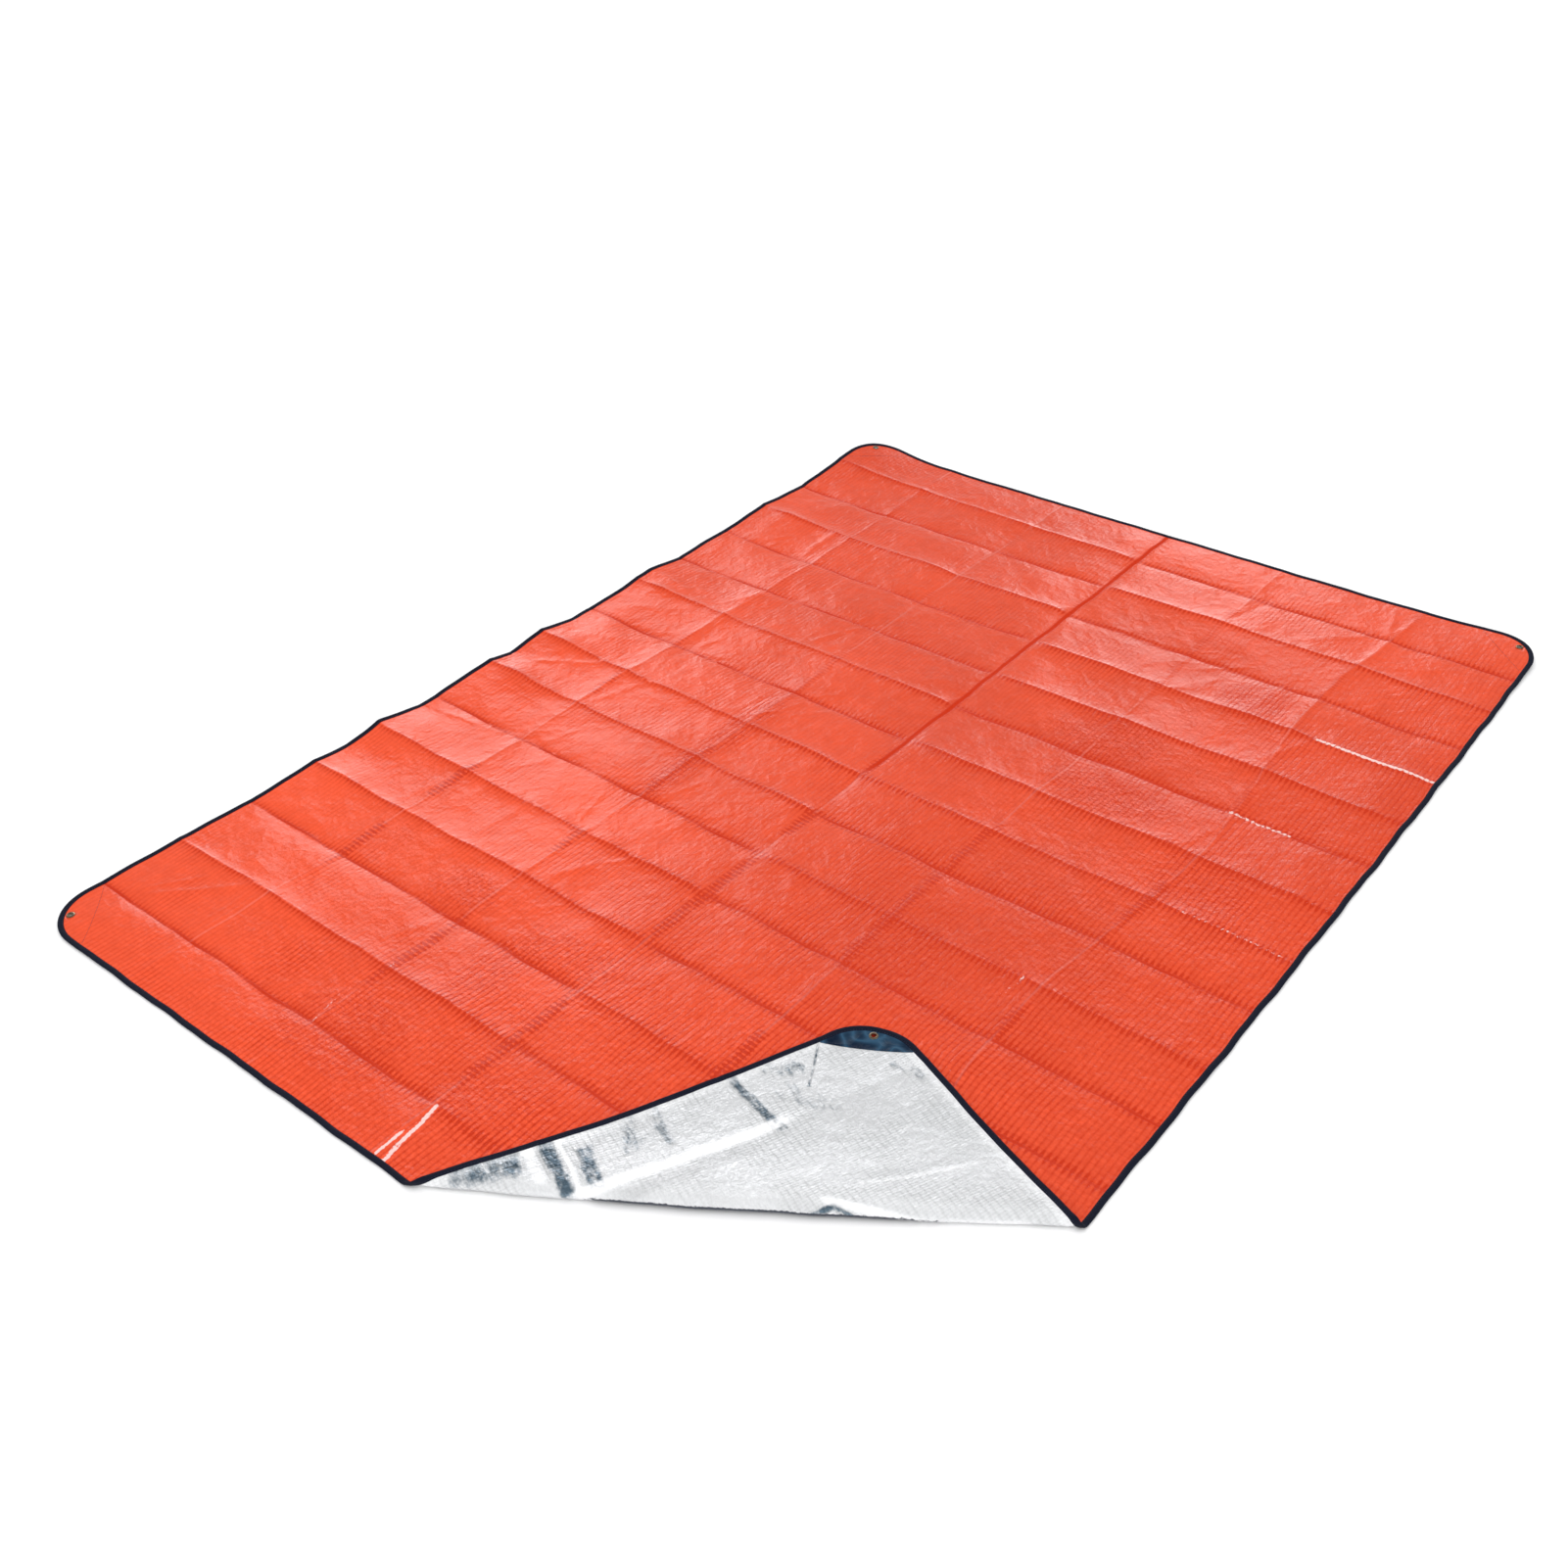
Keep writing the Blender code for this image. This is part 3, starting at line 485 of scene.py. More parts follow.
def fold_grid(columns, rows, crowding):
    """Crossings of lines that follow the folds both ways, with more of them close to each fold."""
    panel = spread(len(FOLDS_ACROSS) + 1, columns, crowding)
    share = spread(len(FOLDS_ALONG) + 1, rows, crowding)
    panel, share = np.meshgrid(panel, share)
    down = np.interp(share, np.arange(len(FOLDS_ALONG) + 2), np.concatenate(([0], FOLDS_ALONG[:, 0], [WIDTH])))
    along = among(places_across(down), LENGTH, panel)
    down = among(places_along(along), WIDTH, share)
    return np.stack((along, down), axis=-1).reshape(-1, 2)


def roll_grid(run_step, turns):
    """Rows of points along the turned-back fold: `turns` of them over its half turn, and some beside it."""
    run = np.arange(run_step / 2, FOLD_LENGTH, run_step)
    half_turn = math.pi * roll_radius(run)
    rows = [FOLD_BULGE * arch(run) + offset * MM for offset in (-14, -9, -5, -2)]
    rows += [FOLD_BULGE * arch(run) + half_turn * step / turns for step in range(turns + 1)]
    rows += [FOLD_BULGE * arch(run) + half_turn + offset * MM for offset in (3, 7, 12, 18)]
    return np.concatenate([np.stack(to_flat(run, out), axis=-1) for out in rows])


def in_roll(points):
    """True for points on the roll, from 16 mm ahead of it to 20 mm past its half turn."""
    run, out = from_fold(points[:, 0], points[:, 1])
    beyond = out - FOLD_BULGE * arch(run)
    beside = (beyond > -16 * MM) & (beyond < math.pi * roll_radius(run) + 20 * MM)
    return (run > 0) & (run < FOLD_LENGTH) & beside


def line_grid(lines, step, offsets):
    """Points on each straight line and beside it, at offsets given as shares of its reach."""
    blocks = []
    for line in lines:
        length = math.dist(line[:2], line[2:4])
        share = np.linspace(0, 1, max(4, round(length / step)))[:, None]
        side = np.array((line[1] - line[3], line[2] - line[0])) / length
        for offset in offsets:
            blocks.append(line[:2] + (line[2:4] - line[:2]) * share + side * offset * line[4] * MM)
    return np.concatenate(blocks)


def near_wrinkle(points):
    """True for points within OFF_WRINKLES of a loose wrinkle's line, unless they lie on a fold."""
    along, down = points.T
    close = np.zeros(len(points), dtype=bool)
    for wrinkle in WRINKLES:
        share, off = along_line(along, down, wrinkle)
        close |= (share > -0.03) & (share < 1.03) & (np.abs(off) < OFF_WRINKLES)
    off_across = np.abs(along[:, None] - places_across(down)).min(axis=1)
    off_along = np.abs(down[:, None] - places_along(along)).min(axis=1)
    return close & (off_across > 0.4 * MM) & (off_along > 0.4 * MM)


def thin_out(points):
    """One point for each small square of the flat cloth, so that no two lie almost on each other."""
    _, first = np.unique(np.floor(points / MESH_CELL).astype(int), axis=0, return_index=True)
    return points[np.sort(first)]


def cut_out(outline, holes, inside):
    """Triangles of a flat pattern: inside its outline and outside its holes, all turned orange side up."""
    points, edges = [], []
    for closed in (outline, *holes):
        start = sum(len(block) for block in points)
        number = np.arange(len(closed))
        edges.append(np.stack((number, (number + 1) % len(closed)), axis=-1) + start)
        points.append(closed)
    points = np.concatenate((*points, inside))
    outcome = delaunay_2d_cdt(points.tolist(), np.concatenate(edges).tolist(), [list(range(len(outline)))], 1, 1e-7)
    triangles = np.array(outcome[2])
    if len(outcome[0]) != len(points):
        raise ValueError("the pattern's lines cross each other")
    middles = points[triangles].mean(axis=1)
    for hole in holes:
        centre = hole.mean(axis=0)
        flat = np.linalg.norm(hole[0] - centre) * math.cos(math.pi / len(hole))
        triangles = triangles[np.linalg.norm(middles - centre, axis=1) > flat]
        middles = points[triangles].mean(axis=1)
    corners = points[triangles]
    side = corners[:, 1] - corners[:, 0]
    other = corners[:, 2] - corners[:, 0]
    clockwise = side[:, 0] * other[:, 1] - side[:, 1] * other[:, 0] > 0
    triangles[clockwise] = triangles[clockwise][:, ::-1]
    return points, triangles


def between(upper, lower, triangles):
    """A closed body between two like surfaces, walled along every edge that only one triangle uses."""
    count = len(upper)
    sides = np.concatenate((triangles[:, (0, 1)], triangles[:, (1, 2)], triangles[:, (2, 0)])).astype(np.int64)
    forward = sides[:, 0] * count + sides[:, 1]
    backward = sides[:, 1] * count + sides[:, 0]
    start, end = sides[~np.isin(forward, backward)].T
    walls = np.concatenate((np.stack((start, start + count, end + count), axis=-1),
                            np.stack((start, end + count, end), axis=-1)))
    return np.concatenate((upper, lower)), np.concatenate((triangles, triangles[:, ::-1] + count, walls))


def grid_faces(rows, columns, closed=True):
    """Four-sided faces over rows of points: each row closes on itself and, if asked, the last on the first."""
    row = np.arange(rows if closed else rows - 1)[:, None]
    column = np.arange(columns)
    above, row, beside = (row + 1) % rows * columns, row * columns, (column + 1) % columns
    return np.stack((row + column, row + beside, above + beside, above + column), axis=-1).reshape(-1, 4)


def make_piece(name, points, faces, materials, chart, face_materials=None, values=None, sharp=None):
    """A mesh object at the origin, from arrays of points, faces and flat-cloth coordinates.

    The chart becomes the UV map "Cloth" in metres, and each array in `values` a point attribute.
    """
    mesh = bpy.data.meshes.new(name)
    count, sides = faces.shape
    mesh.vertices.add(len(points))
    mesh.vertices.foreach_set("co", points.astype(np.float32).ravel())
    mesh.loops.add(count * sides)
    mesh.loops.foreach_set("vertex_index", faces.astype(np.int32).ravel())
    mesh.polygons.add(count)
    mesh.polygons.foreach_set("loop_start", np.arange(0, count * sides, sides, dtype=np.int32))
    mesh.update(calc_edges=True)
    for material in materials:
        mesh.materials.append(material)
    if face_materials is not None:
        mesh.polygons.foreach_set("material_index", face_materials.astype(np.int32))
    layer = mesh.uv_layers.new(name="Cloth")
    layer.data.foreach_set("uv", chart[faces.ravel()].astype(np.float32).ravel())
    for label, column in (values or {}).items():
        attribute = mesh.attributes.new(label, "FLOAT", "POINT")
        attribute.data.foreach_set("value", column.astype(np.float32))
    mesh.shade_smooth()
    if sharp is not None:
        mesh.set_sharp_from_angle(angle=math.radians(sharp))
    mesh.validate()
    piece = bpy.data.objects.new(name, mesh)
    bpy.context.scene.collection.objects.link(piece)
    return piece


def make_swept(name, rows, first, second, material, sharp=None):
    """A piece from rows of points, closed both ways, with the two coordinates of its chart."""
    chart = np.stack(np.broadcast_arrays(first, second), axis=-1).reshape(-1, 2)
    return make_piece(name, rows.reshape(-1, 3), grid_faces(*rows.shape[:2]), [material], chart, sharp=sharp)


def hand_over(piece, nodes):
    """Rides a piece on the one body, in place of its solids."""
    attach(piece, "root")
    if nodes:
        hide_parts(*nodes)


def both_ways(operation):
    """An operator's two methods: with the wire before the other value, and after it."""
    return (lambda self, other: self.maths(operation, self, other),
            lambda self, other: self.maths(operation, other, self))


class Wire:
    """A shader socket that can be used in sums, on either side of a number."""

    def __init__(self, finish, socket):
        self.finish = finish
        self.socket = socket

    def maths(self, operation, *values):
        return self.finish.node("ShaderNodeMath", {"operation": operation}, dict(enumerate(values)))

    __add__, __radd__ = both_ways("ADD")
    __sub__, __rsub__ = both_ways("SUBTRACT")
    __mul__, __rmul__ = both_ways("MULTIPLY")
    __truediv__, __rtruediv__ = both_ways("DIVIDE")
    __pow__, __rpow__ = both_ways("POWER")

    def __abs__(self):
        return self.maths("ABSOLUTE", self)

    def wave(self, length):
        """A sine wave, so many metres long."""
        return self.maths("SINE", self * (2 * math.pi / length))

    def held(self, low=0.0, high=1.0):
        """Held between low and high."""
        return self.maths("MINIMUM", self.maths("MAXIMUM", self, low), high)

    def between(self, low, high):
        """0 below low and 1 above high, with a soft step between."""
        return self.finish.node("ShaderNodeMapRange", {"interpolation_type": "SMOOTHSTEP"},
                                {"Value": self, "From Min": low, "From Max": high})


class Nodes:
    """A node tree filled by one method; sums of its sockets make the values."""

    def __init__(self, tree):
        self.tree = tree

    def node(self, kind, settings=None, inputs=None, output=0):
        """A node of that kind: its settings first, then the values or wires of its sockets."""
        made = self.tree.nodes.new(kind)
        for name, value in (settings or {}).items():
            setattr(made, name, value)
        for key, value in (inputs or {}).items():
            self.plug(made.inputs[key], value)
        return Wire(self, made.outputs[output])

    def plug(self, socket, value):
        """A wire is linked to the socket, and a value set on it, with an alpha of 1 for a colour."""
        if isinstance(value, Wire):
            self.tree.links.new(value.socket, socket)
        else:
            socket.default_value = (*value, 1.0) if socket.type == "RGBA" else value

    def noise(self, place, scale, detail=2.0, roughness=0.5, stretch=None):
        """Noise from 0 to 1, at so many lumps a metre."""
        if stretch:
            place = self.node("ShaderNodeVectorMath", {"operation": "MULTIPLY"}, {0: place, 1: stretch})
        return self.node("ShaderNodeTexNoise", None,
                         {"Vector": place, "Scale": scale, "Detail": detail, "Roughness": roughness})

    def ridged(self, place, scale, detail=1.0):
        """Sharp crests where noise passes its middle: 1 - |2 n - 1| * 2.5, held at 0."""
        return (1 - abs(self.noise(place, scale, detail) * 2 - 1) * 2.5).held()

    def own_place(self):
        """The object's own coordinates, in metres."""
        return self.node("ShaderNodeTexCoord", None, None, 3)

    def split(self, place):
        """The three parts of a place."""
        return [self.node("ShaderNodeSeparateXYZ", None, {"Vector": place}, part) for part in range(3)]

    def mix(self, share, first, second):
        """A colour part of the way from first to second."""
        return self.node("ShaderNodeMix", {"data_type": "RGBA"}, {0: share, 6: first, 7: second}, 2)


class Finish(Nodes):
    """A material, set through its main shader."""

    def __init__(self, name):
        self.material = bpy.data.materials.new(name)
        self.material.use_nodes = True
        super().__init__(self.material.node_tree)
        self.shader = self.tree.nodes["Principled BSDF"]

    def set(self, **values):
        """Values or wires of the main shader, by socket name with _ for a blank."""
        for name, value in values.items():
            self.plug(self.shader.inputs[name.replace("_", " ")], value)

    def chart(self):
        """The piece's own flat coordinates in metres, whole and apart."""
        place = self.node("ShaderNodeUVMap", {"uv_map": "Cloth"})
        return (place, *self.split(place)[:2])

    def values(self, names):
        """The piece's point attributes of those names."""
        return [self.node("ShaderNodeAttribute", {"attribute_name": name}, None, 2) for name in names.split()]

    def ribs(self, place, pitch, power=3.0):
        """Narrow ribs, one each pitch: a power of (1 + cos(2 pi place / pitch)) / 2."""
        return ((place + pitch / 4).wave(pitch) * 0.5 + 0.5) ** power

    def bump(self, height):
        """A normal from a height in millimetres."""
        return self.node("ShaderNodeBump", None, {"Strength": 1.0, "Distance": MM, "Height": height})


def laminate_finish(cloth):
    """Orange film over a woven scrim: ribs both ways, ladder marks by the folds, worn lines, crinkles, painted shade
    in creases and grooves, a painted fill light and painted ridge highlights.
    """
    finish = Finish("orange_laminate_film")
    noise, ridged = finish.noise, finish.ridged
    place, along, down = finish.chart()
    off_across, off_along, beside_across, beside_along, valley, middle, shade, worn, netted, faded = finish.values(
        "off_across off_along ladder_across ladder_along valley middle shade worn netted faded")
    across_mask = (1.4 - off_across / 9).held() * beside_across
    along_mask = (1.4 - off_along / 9).held() * beside_along
    # Painted shade: dark thin lines in the valley folds and along the middle fold.
    lines = (1 - off_across / 4).held() * valley + (1.4 - off_along / 4.5).held() * middle
    weft, warp = finish.ribs(down, cloth.scrim_pitch), finish.ribs(along, cloth.scrim_pitch)
    rungs, posts = (finish.ribs(way, cloth.scrim_pitch, 1.2) for way in (down, along))
    patchy = (noise(place, 6.0).between(0.45, 0.65) * 0.5 + netted * 0.8).held()
    broken = noise(place, 38.0).between(0.26, 0.52)
    net = (weft * 1.3 + warp * 0.35) * (patchy * 0.85 + 0.15)
    stretches = noise(place, 5.5, 1.0).between(0.46, 0.56) * 0.9 + 0.1
    ladders = (rungs * across_mask * 0.6 + posts * along_mask * stretches * 1.3) * broken
    # Painted highlight: a thin pale line along the folds along the cloth.
    ridge = (1 - off_along / 3).held() * (1.1 - stretches) * (1 - middle)
    crinkle = (ridged(place, 9.0) * 0.8 + ridged(place, 30.0, 2.0) * 0.42
               + noise(place, 62.0, 3.0, 0.62) * (netted + 0.7)
               + noise(place, 230.0, 3.0, 0.6) * (netted * 0.32 + 0.10))
    height = crinkle * cloth.crinkle - net * cloth.net_depth - rungs * across_mask * broken * cloth.ladder_depth
    whitened = (noise(place, 210.0, 2.0, 0.6) + worn * (0.34 + rungs * 0.22)).between(0.72, 0.96)
    # The tone mixes deep and full orange: random patches, and a painted fill light that brightens the far left and a
    # few soft areas.
    tone = (noise(place, 3.2, 3.0).between(0.25, 0.75) * 0.4 + faded * 0.6
            + (noise(place, 42.0, 3.0, 0.6) - 0.5) * 0.9).held()
    dapple = noise(place, 110.0, 4.0, 0.7).between(0.30, 0.70)
    # Pits darken the colour: the scrim's own pattern and random dapple, with painted shade in the scrim's grooves,
    # the ladder marks, the crease lines and the shaded side of each fold.
    pits_and_painted_shade = (net * 0.46 + ladders * 1.25 + dapple * (netted * 0.45 + 0.08) + lines * 1.4
            + shade * (0.62 + beside_across * broken * (rungs * 1.5 - 0.5))).held()
    colour = finish.mix(tone, cloth.orange_deep, cloth.orange)
    colour = finish.mix(pits_and_painted_shade, colour, cloth.orange_pit_and_shade)
    # Worn lines and flecks whiten the film, and the painted ridge highlight adds a little of the same white.
    colour = finish.mix((whitened * 0.85 + ridge * 0.09).held(), colour, WORN_AND_HIGHLIGHT_WHITE)
    roughness = (cloth.gloss + whitened * 0.1 + lines * 0.75 + ladders * 0.1).held()
    finish.set(Base_Color=colour, Roughness=roughness, Specular_IOR_Level=0.32, Normal=finish.bump(height))
    return finish.material


def silver_finish(cloth):
    """Aluminised film: bright over the scrim's ribs, crumpled where the folds cross it, with a painted dark blue
    reflection there, painted highlights, painted dull shade and a painted shadow under the roll.
    """
    finish = Finish("silver_film")
    noise, ridged = finish.noise, finish.ridged
    place, along, down = finish.chart()
    rumpled, under_roll, on_roll, sheen = finish.values("rumpled under_roll on_roll sheen")
    net = finish.ribs(along, cloth.scrim_pitch / 2) * 0.7 + finish.ribs(down, cloth.scrim_pitch)
    patchy = noise(place, 9.0).between(0.40, 0.62)
    speckle = noise(place, 170.0, 3.0, 0.65)
    streaks = noise(place, 26.0, 4.0, 0.62, (1.0, 3.0, 1.0))
    crinkle = (ridged(place, 14.0, 2.0) * 0.8 + noise(place, 60.0, 3.0, 0.6) * 2.4 + speckle * 1.1
               + ridged(place, 45.0, 2.0) * (rumpled * 1.2 + 0.15))
    height = crinkle - net * (patchy * 0.22 + 0.12) + streaks * rumpled * 1.6
    # Painted reflection: dark blue on the rumpled film, where it stands for the dim sky mirrored in the creases.
    painted_blue_reflection = (streaks - 0.5) * 2.6 + rumpled * 1.25 - 0.36 + (speckle - 0.5) * 1.3
    painted_blue_reflection = painted_blue_reflection.between(0.0, 1.3) * (rumpled * 2.0).held()
    # Painted shadow: a dark rough line under the turned-back roll.
    under = (under_roll * 1.3 + (speckle - 0.5) * 1.6).between(0.35, 0.85) * (under_roll * 8.0).held()
    # Painted highlight: the silver is painted white where the sheen lies.
    lit = (sheen + (speckle - 0.5) * 1.3).between(0.15, 1.25) * (sheen * 2.0).held()
    # The tone darkens the silver at random and over the scrim's ribs, is lowered under the painted highlights and
    # raised as painted shade where the sheen is below 0.
    tone = (noise(place, 14.0, 3.0) * 0.5 + noise(place, 120.0, 3.0, 0.7, (1.0, 2.0, 1.0)) * 1.2
            - 0.40 + net * patchy * 0.28 - sheen * 0.45).held()
    colour = finish.mix(tone, cloth.silver, cloth.silver * 0.68)
    colour = finish.mix(painted_blue_reflection, colour, cloth.silver_blue_reflection)
    colour = finish.mix(lit, colour, GLINT)
    colour = finish.mix(under, colour, UNDER_ROLL_SHADE)
    # Less metallic on the roll, so that it shows a painted white band, and none under the painted highlights and the
    # painted shadow.
    metallic = (0.42 - on_roll * 0.24 + painted_blue_reflection * 0.45).held() * (1 - lit) * (1 - under)
    finish.set(Base_Color=colour, Metallic=metallic, Roughness=0.28 + tone * 0.10, Normal=finish.bump(height))
    return finish.material


def tape_finish(trim):
    """Navy woven tape: fine ribs across it and a faint twill, a little paler in random patches."""
    finish = Finish("navy_woven_tape")
    place, walked, inset = finish.chart()
    weave = walked.wave(0.9 * MM) * inset.wave(0.9 * MM)
    fuzz = finish.noise(place, 900.0)
    colour = finish.mix(finish.noise(place, 18.0) * 0.7 + fuzz * 0.3, trim.tape_colour, trim.tape_colour * 1.9)
    height = (weave + fuzz + walked.wave(trim.stitch_pitch)) * 0.05
    finish.set(Base_Color=colour, Roughness=0.72 + fuzz * 0.15, Specular_IOR_Level=0.25, Normal=finish.bump(height))
    return finish.material


def thread_finish(trim):
    """Polyester sewing thread: a twist along it over the thread's colour."""
    finish = Finish("sewing_thread")
    twist = finish.noise(finish.own_place(), 1500.0, 1.0)
    colour = finish.mix(twist, trim.thread_colour, trim.thread_colour * 1.6)
    finish.set(Base_Color=colour, Roughness=0.5 + twist * 0.2, Normal=finish.bump(twist * 0.03))
    return finish.material


def patch_finish(trim):
    """Coated navy cloth: shiny, with pressed creases, painted blue highlights on them and a fine plain weave."""
    finish = Finish("navy_coated_patch")
    place, along, down = finish.chart()
    height = (finish.ridged(place, 32.0) * 2.6 + finish.ridged(place, 80.0) * 0.5
              + along.wave(0.7 * MM) * down.wave(0.7 * MM) * 0.012)
    tone = finish.noise(place, 45.0)
    colour = finish.mix(tone, trim.patch_colour, trim.patch_colour * 1.7)
    # Painted highlight: lighter blue on the patch's creases.
    colour = finish.mix(finish.ridged(place, 26.0) ** 3.0, colour, PATCH_CREASE_HIGHLIGHT)
    roughness = 0.40 + tone * 0.12
    finish.set(Base_Color=colour, Roughness=roughness, Specular_IOR_Level=0.15, Normal=finish.bump(height))
    return finish.material


def eyelet_finish(trim):
    """Stamped dark brass: duller in random tarnished patches, with fine turning marks."""
    finish = Finish("stamped_brass")
    place = finish.own_place()
    tarnish = finish.noise(place, 240.0, 3.0, 0.6).between(0.3, 0.75)
    colour = finish.mix(tarnish, trim.eyelet_colour, trim.eyelet_colour * 0.45)
    scratches = finish.noise(place, 2200.0) * 0.02
    finish.set(Base_Color=colour, Metallic=1.0, Roughness=0.28 + tarnish * 0.22, Normal=finish.bump(scratches))
    return finish.material


def cloth_values(flat):
    """The cloth's point attributes: distances in mm to the folds both ways, and shares from 0 to about 1.

    They say where a fold is a valley and where painted shade lies beside it, and where the film is worn,
    rumpled or shows its scrim, and where the painted highlights, the painted fill light and the painted
    shadow under the roll lie. Each is built of soft steps and exp(-x^2) bumps on the flat cloth.
    """
    along, down = flat.T
    past = along[:, None] - places_across(down)
    nearest = np.abs(past).argmin(axis=1)[:, None]
    past, rise = (np.take_along_axis(each, nearest, axis=1)[:, 0] for each in (past, rises_across(down)))
    off_across = np.abs(past)
    off_along = np.abs(down[:, None] - places_along(along)).min(axis=1)
    # valley and middle say where dark painted shade lines lie in the creases.
    valley = ease(-rise / 3.0) * (0.6 + 0.4 * np.sin(34.0 * down + 2.0 * nearest[:, 0]))
    shade = np.minimum(np.abs(rise) / 3.2, 1.0) * np.exp(-off_across / (7 * MM)) * (past * rise < 0)
    middle = ease((along - 1.02) / 0.05) * np.exp(-((down - MIDDLE_FOLD) / 0.02) ** 2)
    ladder_across = (0.25 + 0.75 * ease((down - 0.42) / 0.30)) * (0.75 + 0.25 * ease((1.5 - along) / 0.5))
    ladder_along = (0.25 + 0.75 * ease((1.35 - along) / 0.6)) * ease((along + 0.5 * down - 0.42) / 0.12)
    worn = strokes(along, down, WORN_LINES, 0.08, 0.5, lambda away: np.clip(1.25 - away, 0.0, 1.0)).max(axis=0)
    rumpled = strokes(along, down, RUMPLES, 0.2, 1.0, band).max(axis=0)
    # Painted highlight: a bright band on the silver along the inside of the tape, with the painted highlights and
    # shade of SHEENS.
    sheen = 0.55 * ease((24 * MM - inside_edge(along, down)) / (9 * MM))
    sheen = sheen + strokes(along, down, SHEENS, 0.2, 1.0, band).sum(axis=0)
    run, out = from_fold(along, down)
    turned = (out - FOLD_BULGE * arch(run)) / roll_radius(run)
    in_run = ease((run - 0.20) / 0.08) * ease((0.78 - run) / 0.30)
    # Painted shadow under the roll, on the part of its half turn below the fold's edge.
    under_roll = ease((1.80 - turned) / 0.40) * ease(turned / 0.3) * in_run
    # On the roll the silver is made less metallic, to paint it as a white band.
    on_roll = ease((turned - 1.3) / 0.4) * ease((6.0 - turned) / 3.0)
    # Painted fill light: the film is painted lighter towards the far left and in a few soft patches.
    faded = 1.2 * ease(1.08 - 0.42 * along - 0.45 * down) + 0.3 * ease((down - 0.95) / 0.35)
    for strength, place_along, place_down, reach_down in ((0.6, 2.05, 1.05, 0.35), (0.75, 0.05, 0.50, 0.40)):
        faded += strength * np.exp(-((along - place_along) / 0.35) ** 2 - ((down - place_down) / reach_down) ** 2)
    netted = np.zeros(len(flat))
    for patch in NETTED:
        away = np.hypot((along - patch[0]) / patch[2], (down - patch[1]) / patch[3])
        netted = np.maximum(netted, band(away))
    netted = np.maximum(netted * ease(down / 0.6), 0.10 + 0.6 * ease(0.90 - 0.8 * along + 1.2 * (down - 0.6)))
    return {"off_across": off_across / MM, "off_along": off_along / MM, "valley": valley, "shade": shade,
            "middle": middle, "ladder_across": ladder_across, "ladder_along": ladder_along, "worn": worn,
            "rumpled": rumpled, "sheen": sheen, "faded": np.clip(faded, 0.0, 1.0), "netted": netted,
            "under_roll": under_roll, "on_roll": on_roll}


def length_setting(name, description, default, least):
    """A setting in metres."""
    return FloatProperty(name=name, description=description, default=default, min=least, unit="LENGTH", precision=4)


def amount_setting(name, description, default, most, subtype="NONE"):
    """A plain number, from 0 up."""
    return FloatProperty(name=name, description=description, default=default, min=0.0, max=most, subtype=subtype)


def colour_setting(name, description, *default):
    """A colour."""
    return FloatVectorProperty(name=name, description=description, default=default, min=0, max=1, subtype="COLOR")


class ClothSettings(bpy.types.PropertyGroup):
    """Sizes and colours of the laminated cloth."""

    thickness: length_setting("Thickness", "Thickness of the laminate", 0.5 * MM, 0.1 * MM)
    scrim_pitch: length_setting("Scrim pitch", "From rib to rib of the woven scrim", 8.7 * MM, 1 * MM)
    net_depth: amount_setting("Scrim depth", "Depth of the scrim's grooves, in mm", 0.13, 0.6)
    ladder_depth: amount_setting("Ladder marks", "Depth of the marks beside the folds, in mm", 0.16, 0.9)
    crinkle: amount_setting("Crinkle", "Strength of the film's fine crinkles", 1.0, 4.0, "FACTOR")
    gloss: amount_setting("Roughness", "Roughness of the orange film", 0.22, 0.9, "FACTOR")
    orange: colour_setting("Orange", "Colour of the film", 0.92, 0.103, 0.037)
    # Deep orange is the film's darker random tone, and also the painted shade where the painted fill light is weak.
    orange_deep: colour_setting("Deep orange", "Where the film is clearer", 0.66, 0.070, 0.026)
    # The pit colour is also the painted shade of the creases, grooves and fold sides.
    orange_pit_and_shade: colour_setting("Pits", "In the ladder marks", 0.56, 0.030, 0.004)
    silver: colour_setting("Silver", "Colour of the aluminised side", 0.93, 0.94, 0.95)
    # The colour of the painted dark blue reflection on the rumpled silver film.
    silver_blue_reflection: colour_setting("Blue silver", "Where the film is crumpled", 0.130, 0.195, 0.250)


class TrimSettings(bpy.types.PropertyGroup):
    """Sizes and colours of the tape, thread, patches and eyelets."""

    tape_width: length_setting("Tape width", "Of the bound edge on each side", 8.6 * MM, 5 * MM)
    stitch_pitch: length_setting("Stitch", "From stitch to stitch", 4.2 * MM, 2 * MM)
    eyelet_bore: length_setting("Bore", "Radius of an eyelet's hole", 3.7 * MM, 2 * MM)
    eyelet_flange: length_setting("Flange", "Radius of an eyelet's rim", 6.5 * MM, 4 * MM)
    tape_colour: colour_setting("Tape", "Colour of the woven tape", 0.004, 0.005, 0.012)
    thread_colour: colour_setting("Thread", "Colour of the sewing thread", 0.020, 0.024, 0.050)
    patch_colour: colour_setting("Patch", "Colour of the corner patches", 0.002, 0.008, 0.022)
    eyelet_colour: colour_setting("Eyelet", "Colour of the metal", 0.60, 0.47, 0.32)


class StageSettings(bpy.types.PropertyGroup):
    """The floor, the lights and the camera."""

    floor: colour_setting("Floor", "Colour of the floor", 0.97, 0.97, 0.97)
    key: amount_setting("Overhead light", "Strength of the soft light from above", 2.75, 20.0)
    box: amount_setting("Softboxes", "Brightness of the low softboxes beyond the cloth", 2.2, 20.0)
    lens: FloatProperty(name="Lens", description="Focal length in millimetres", default=37.488, min=10.0)


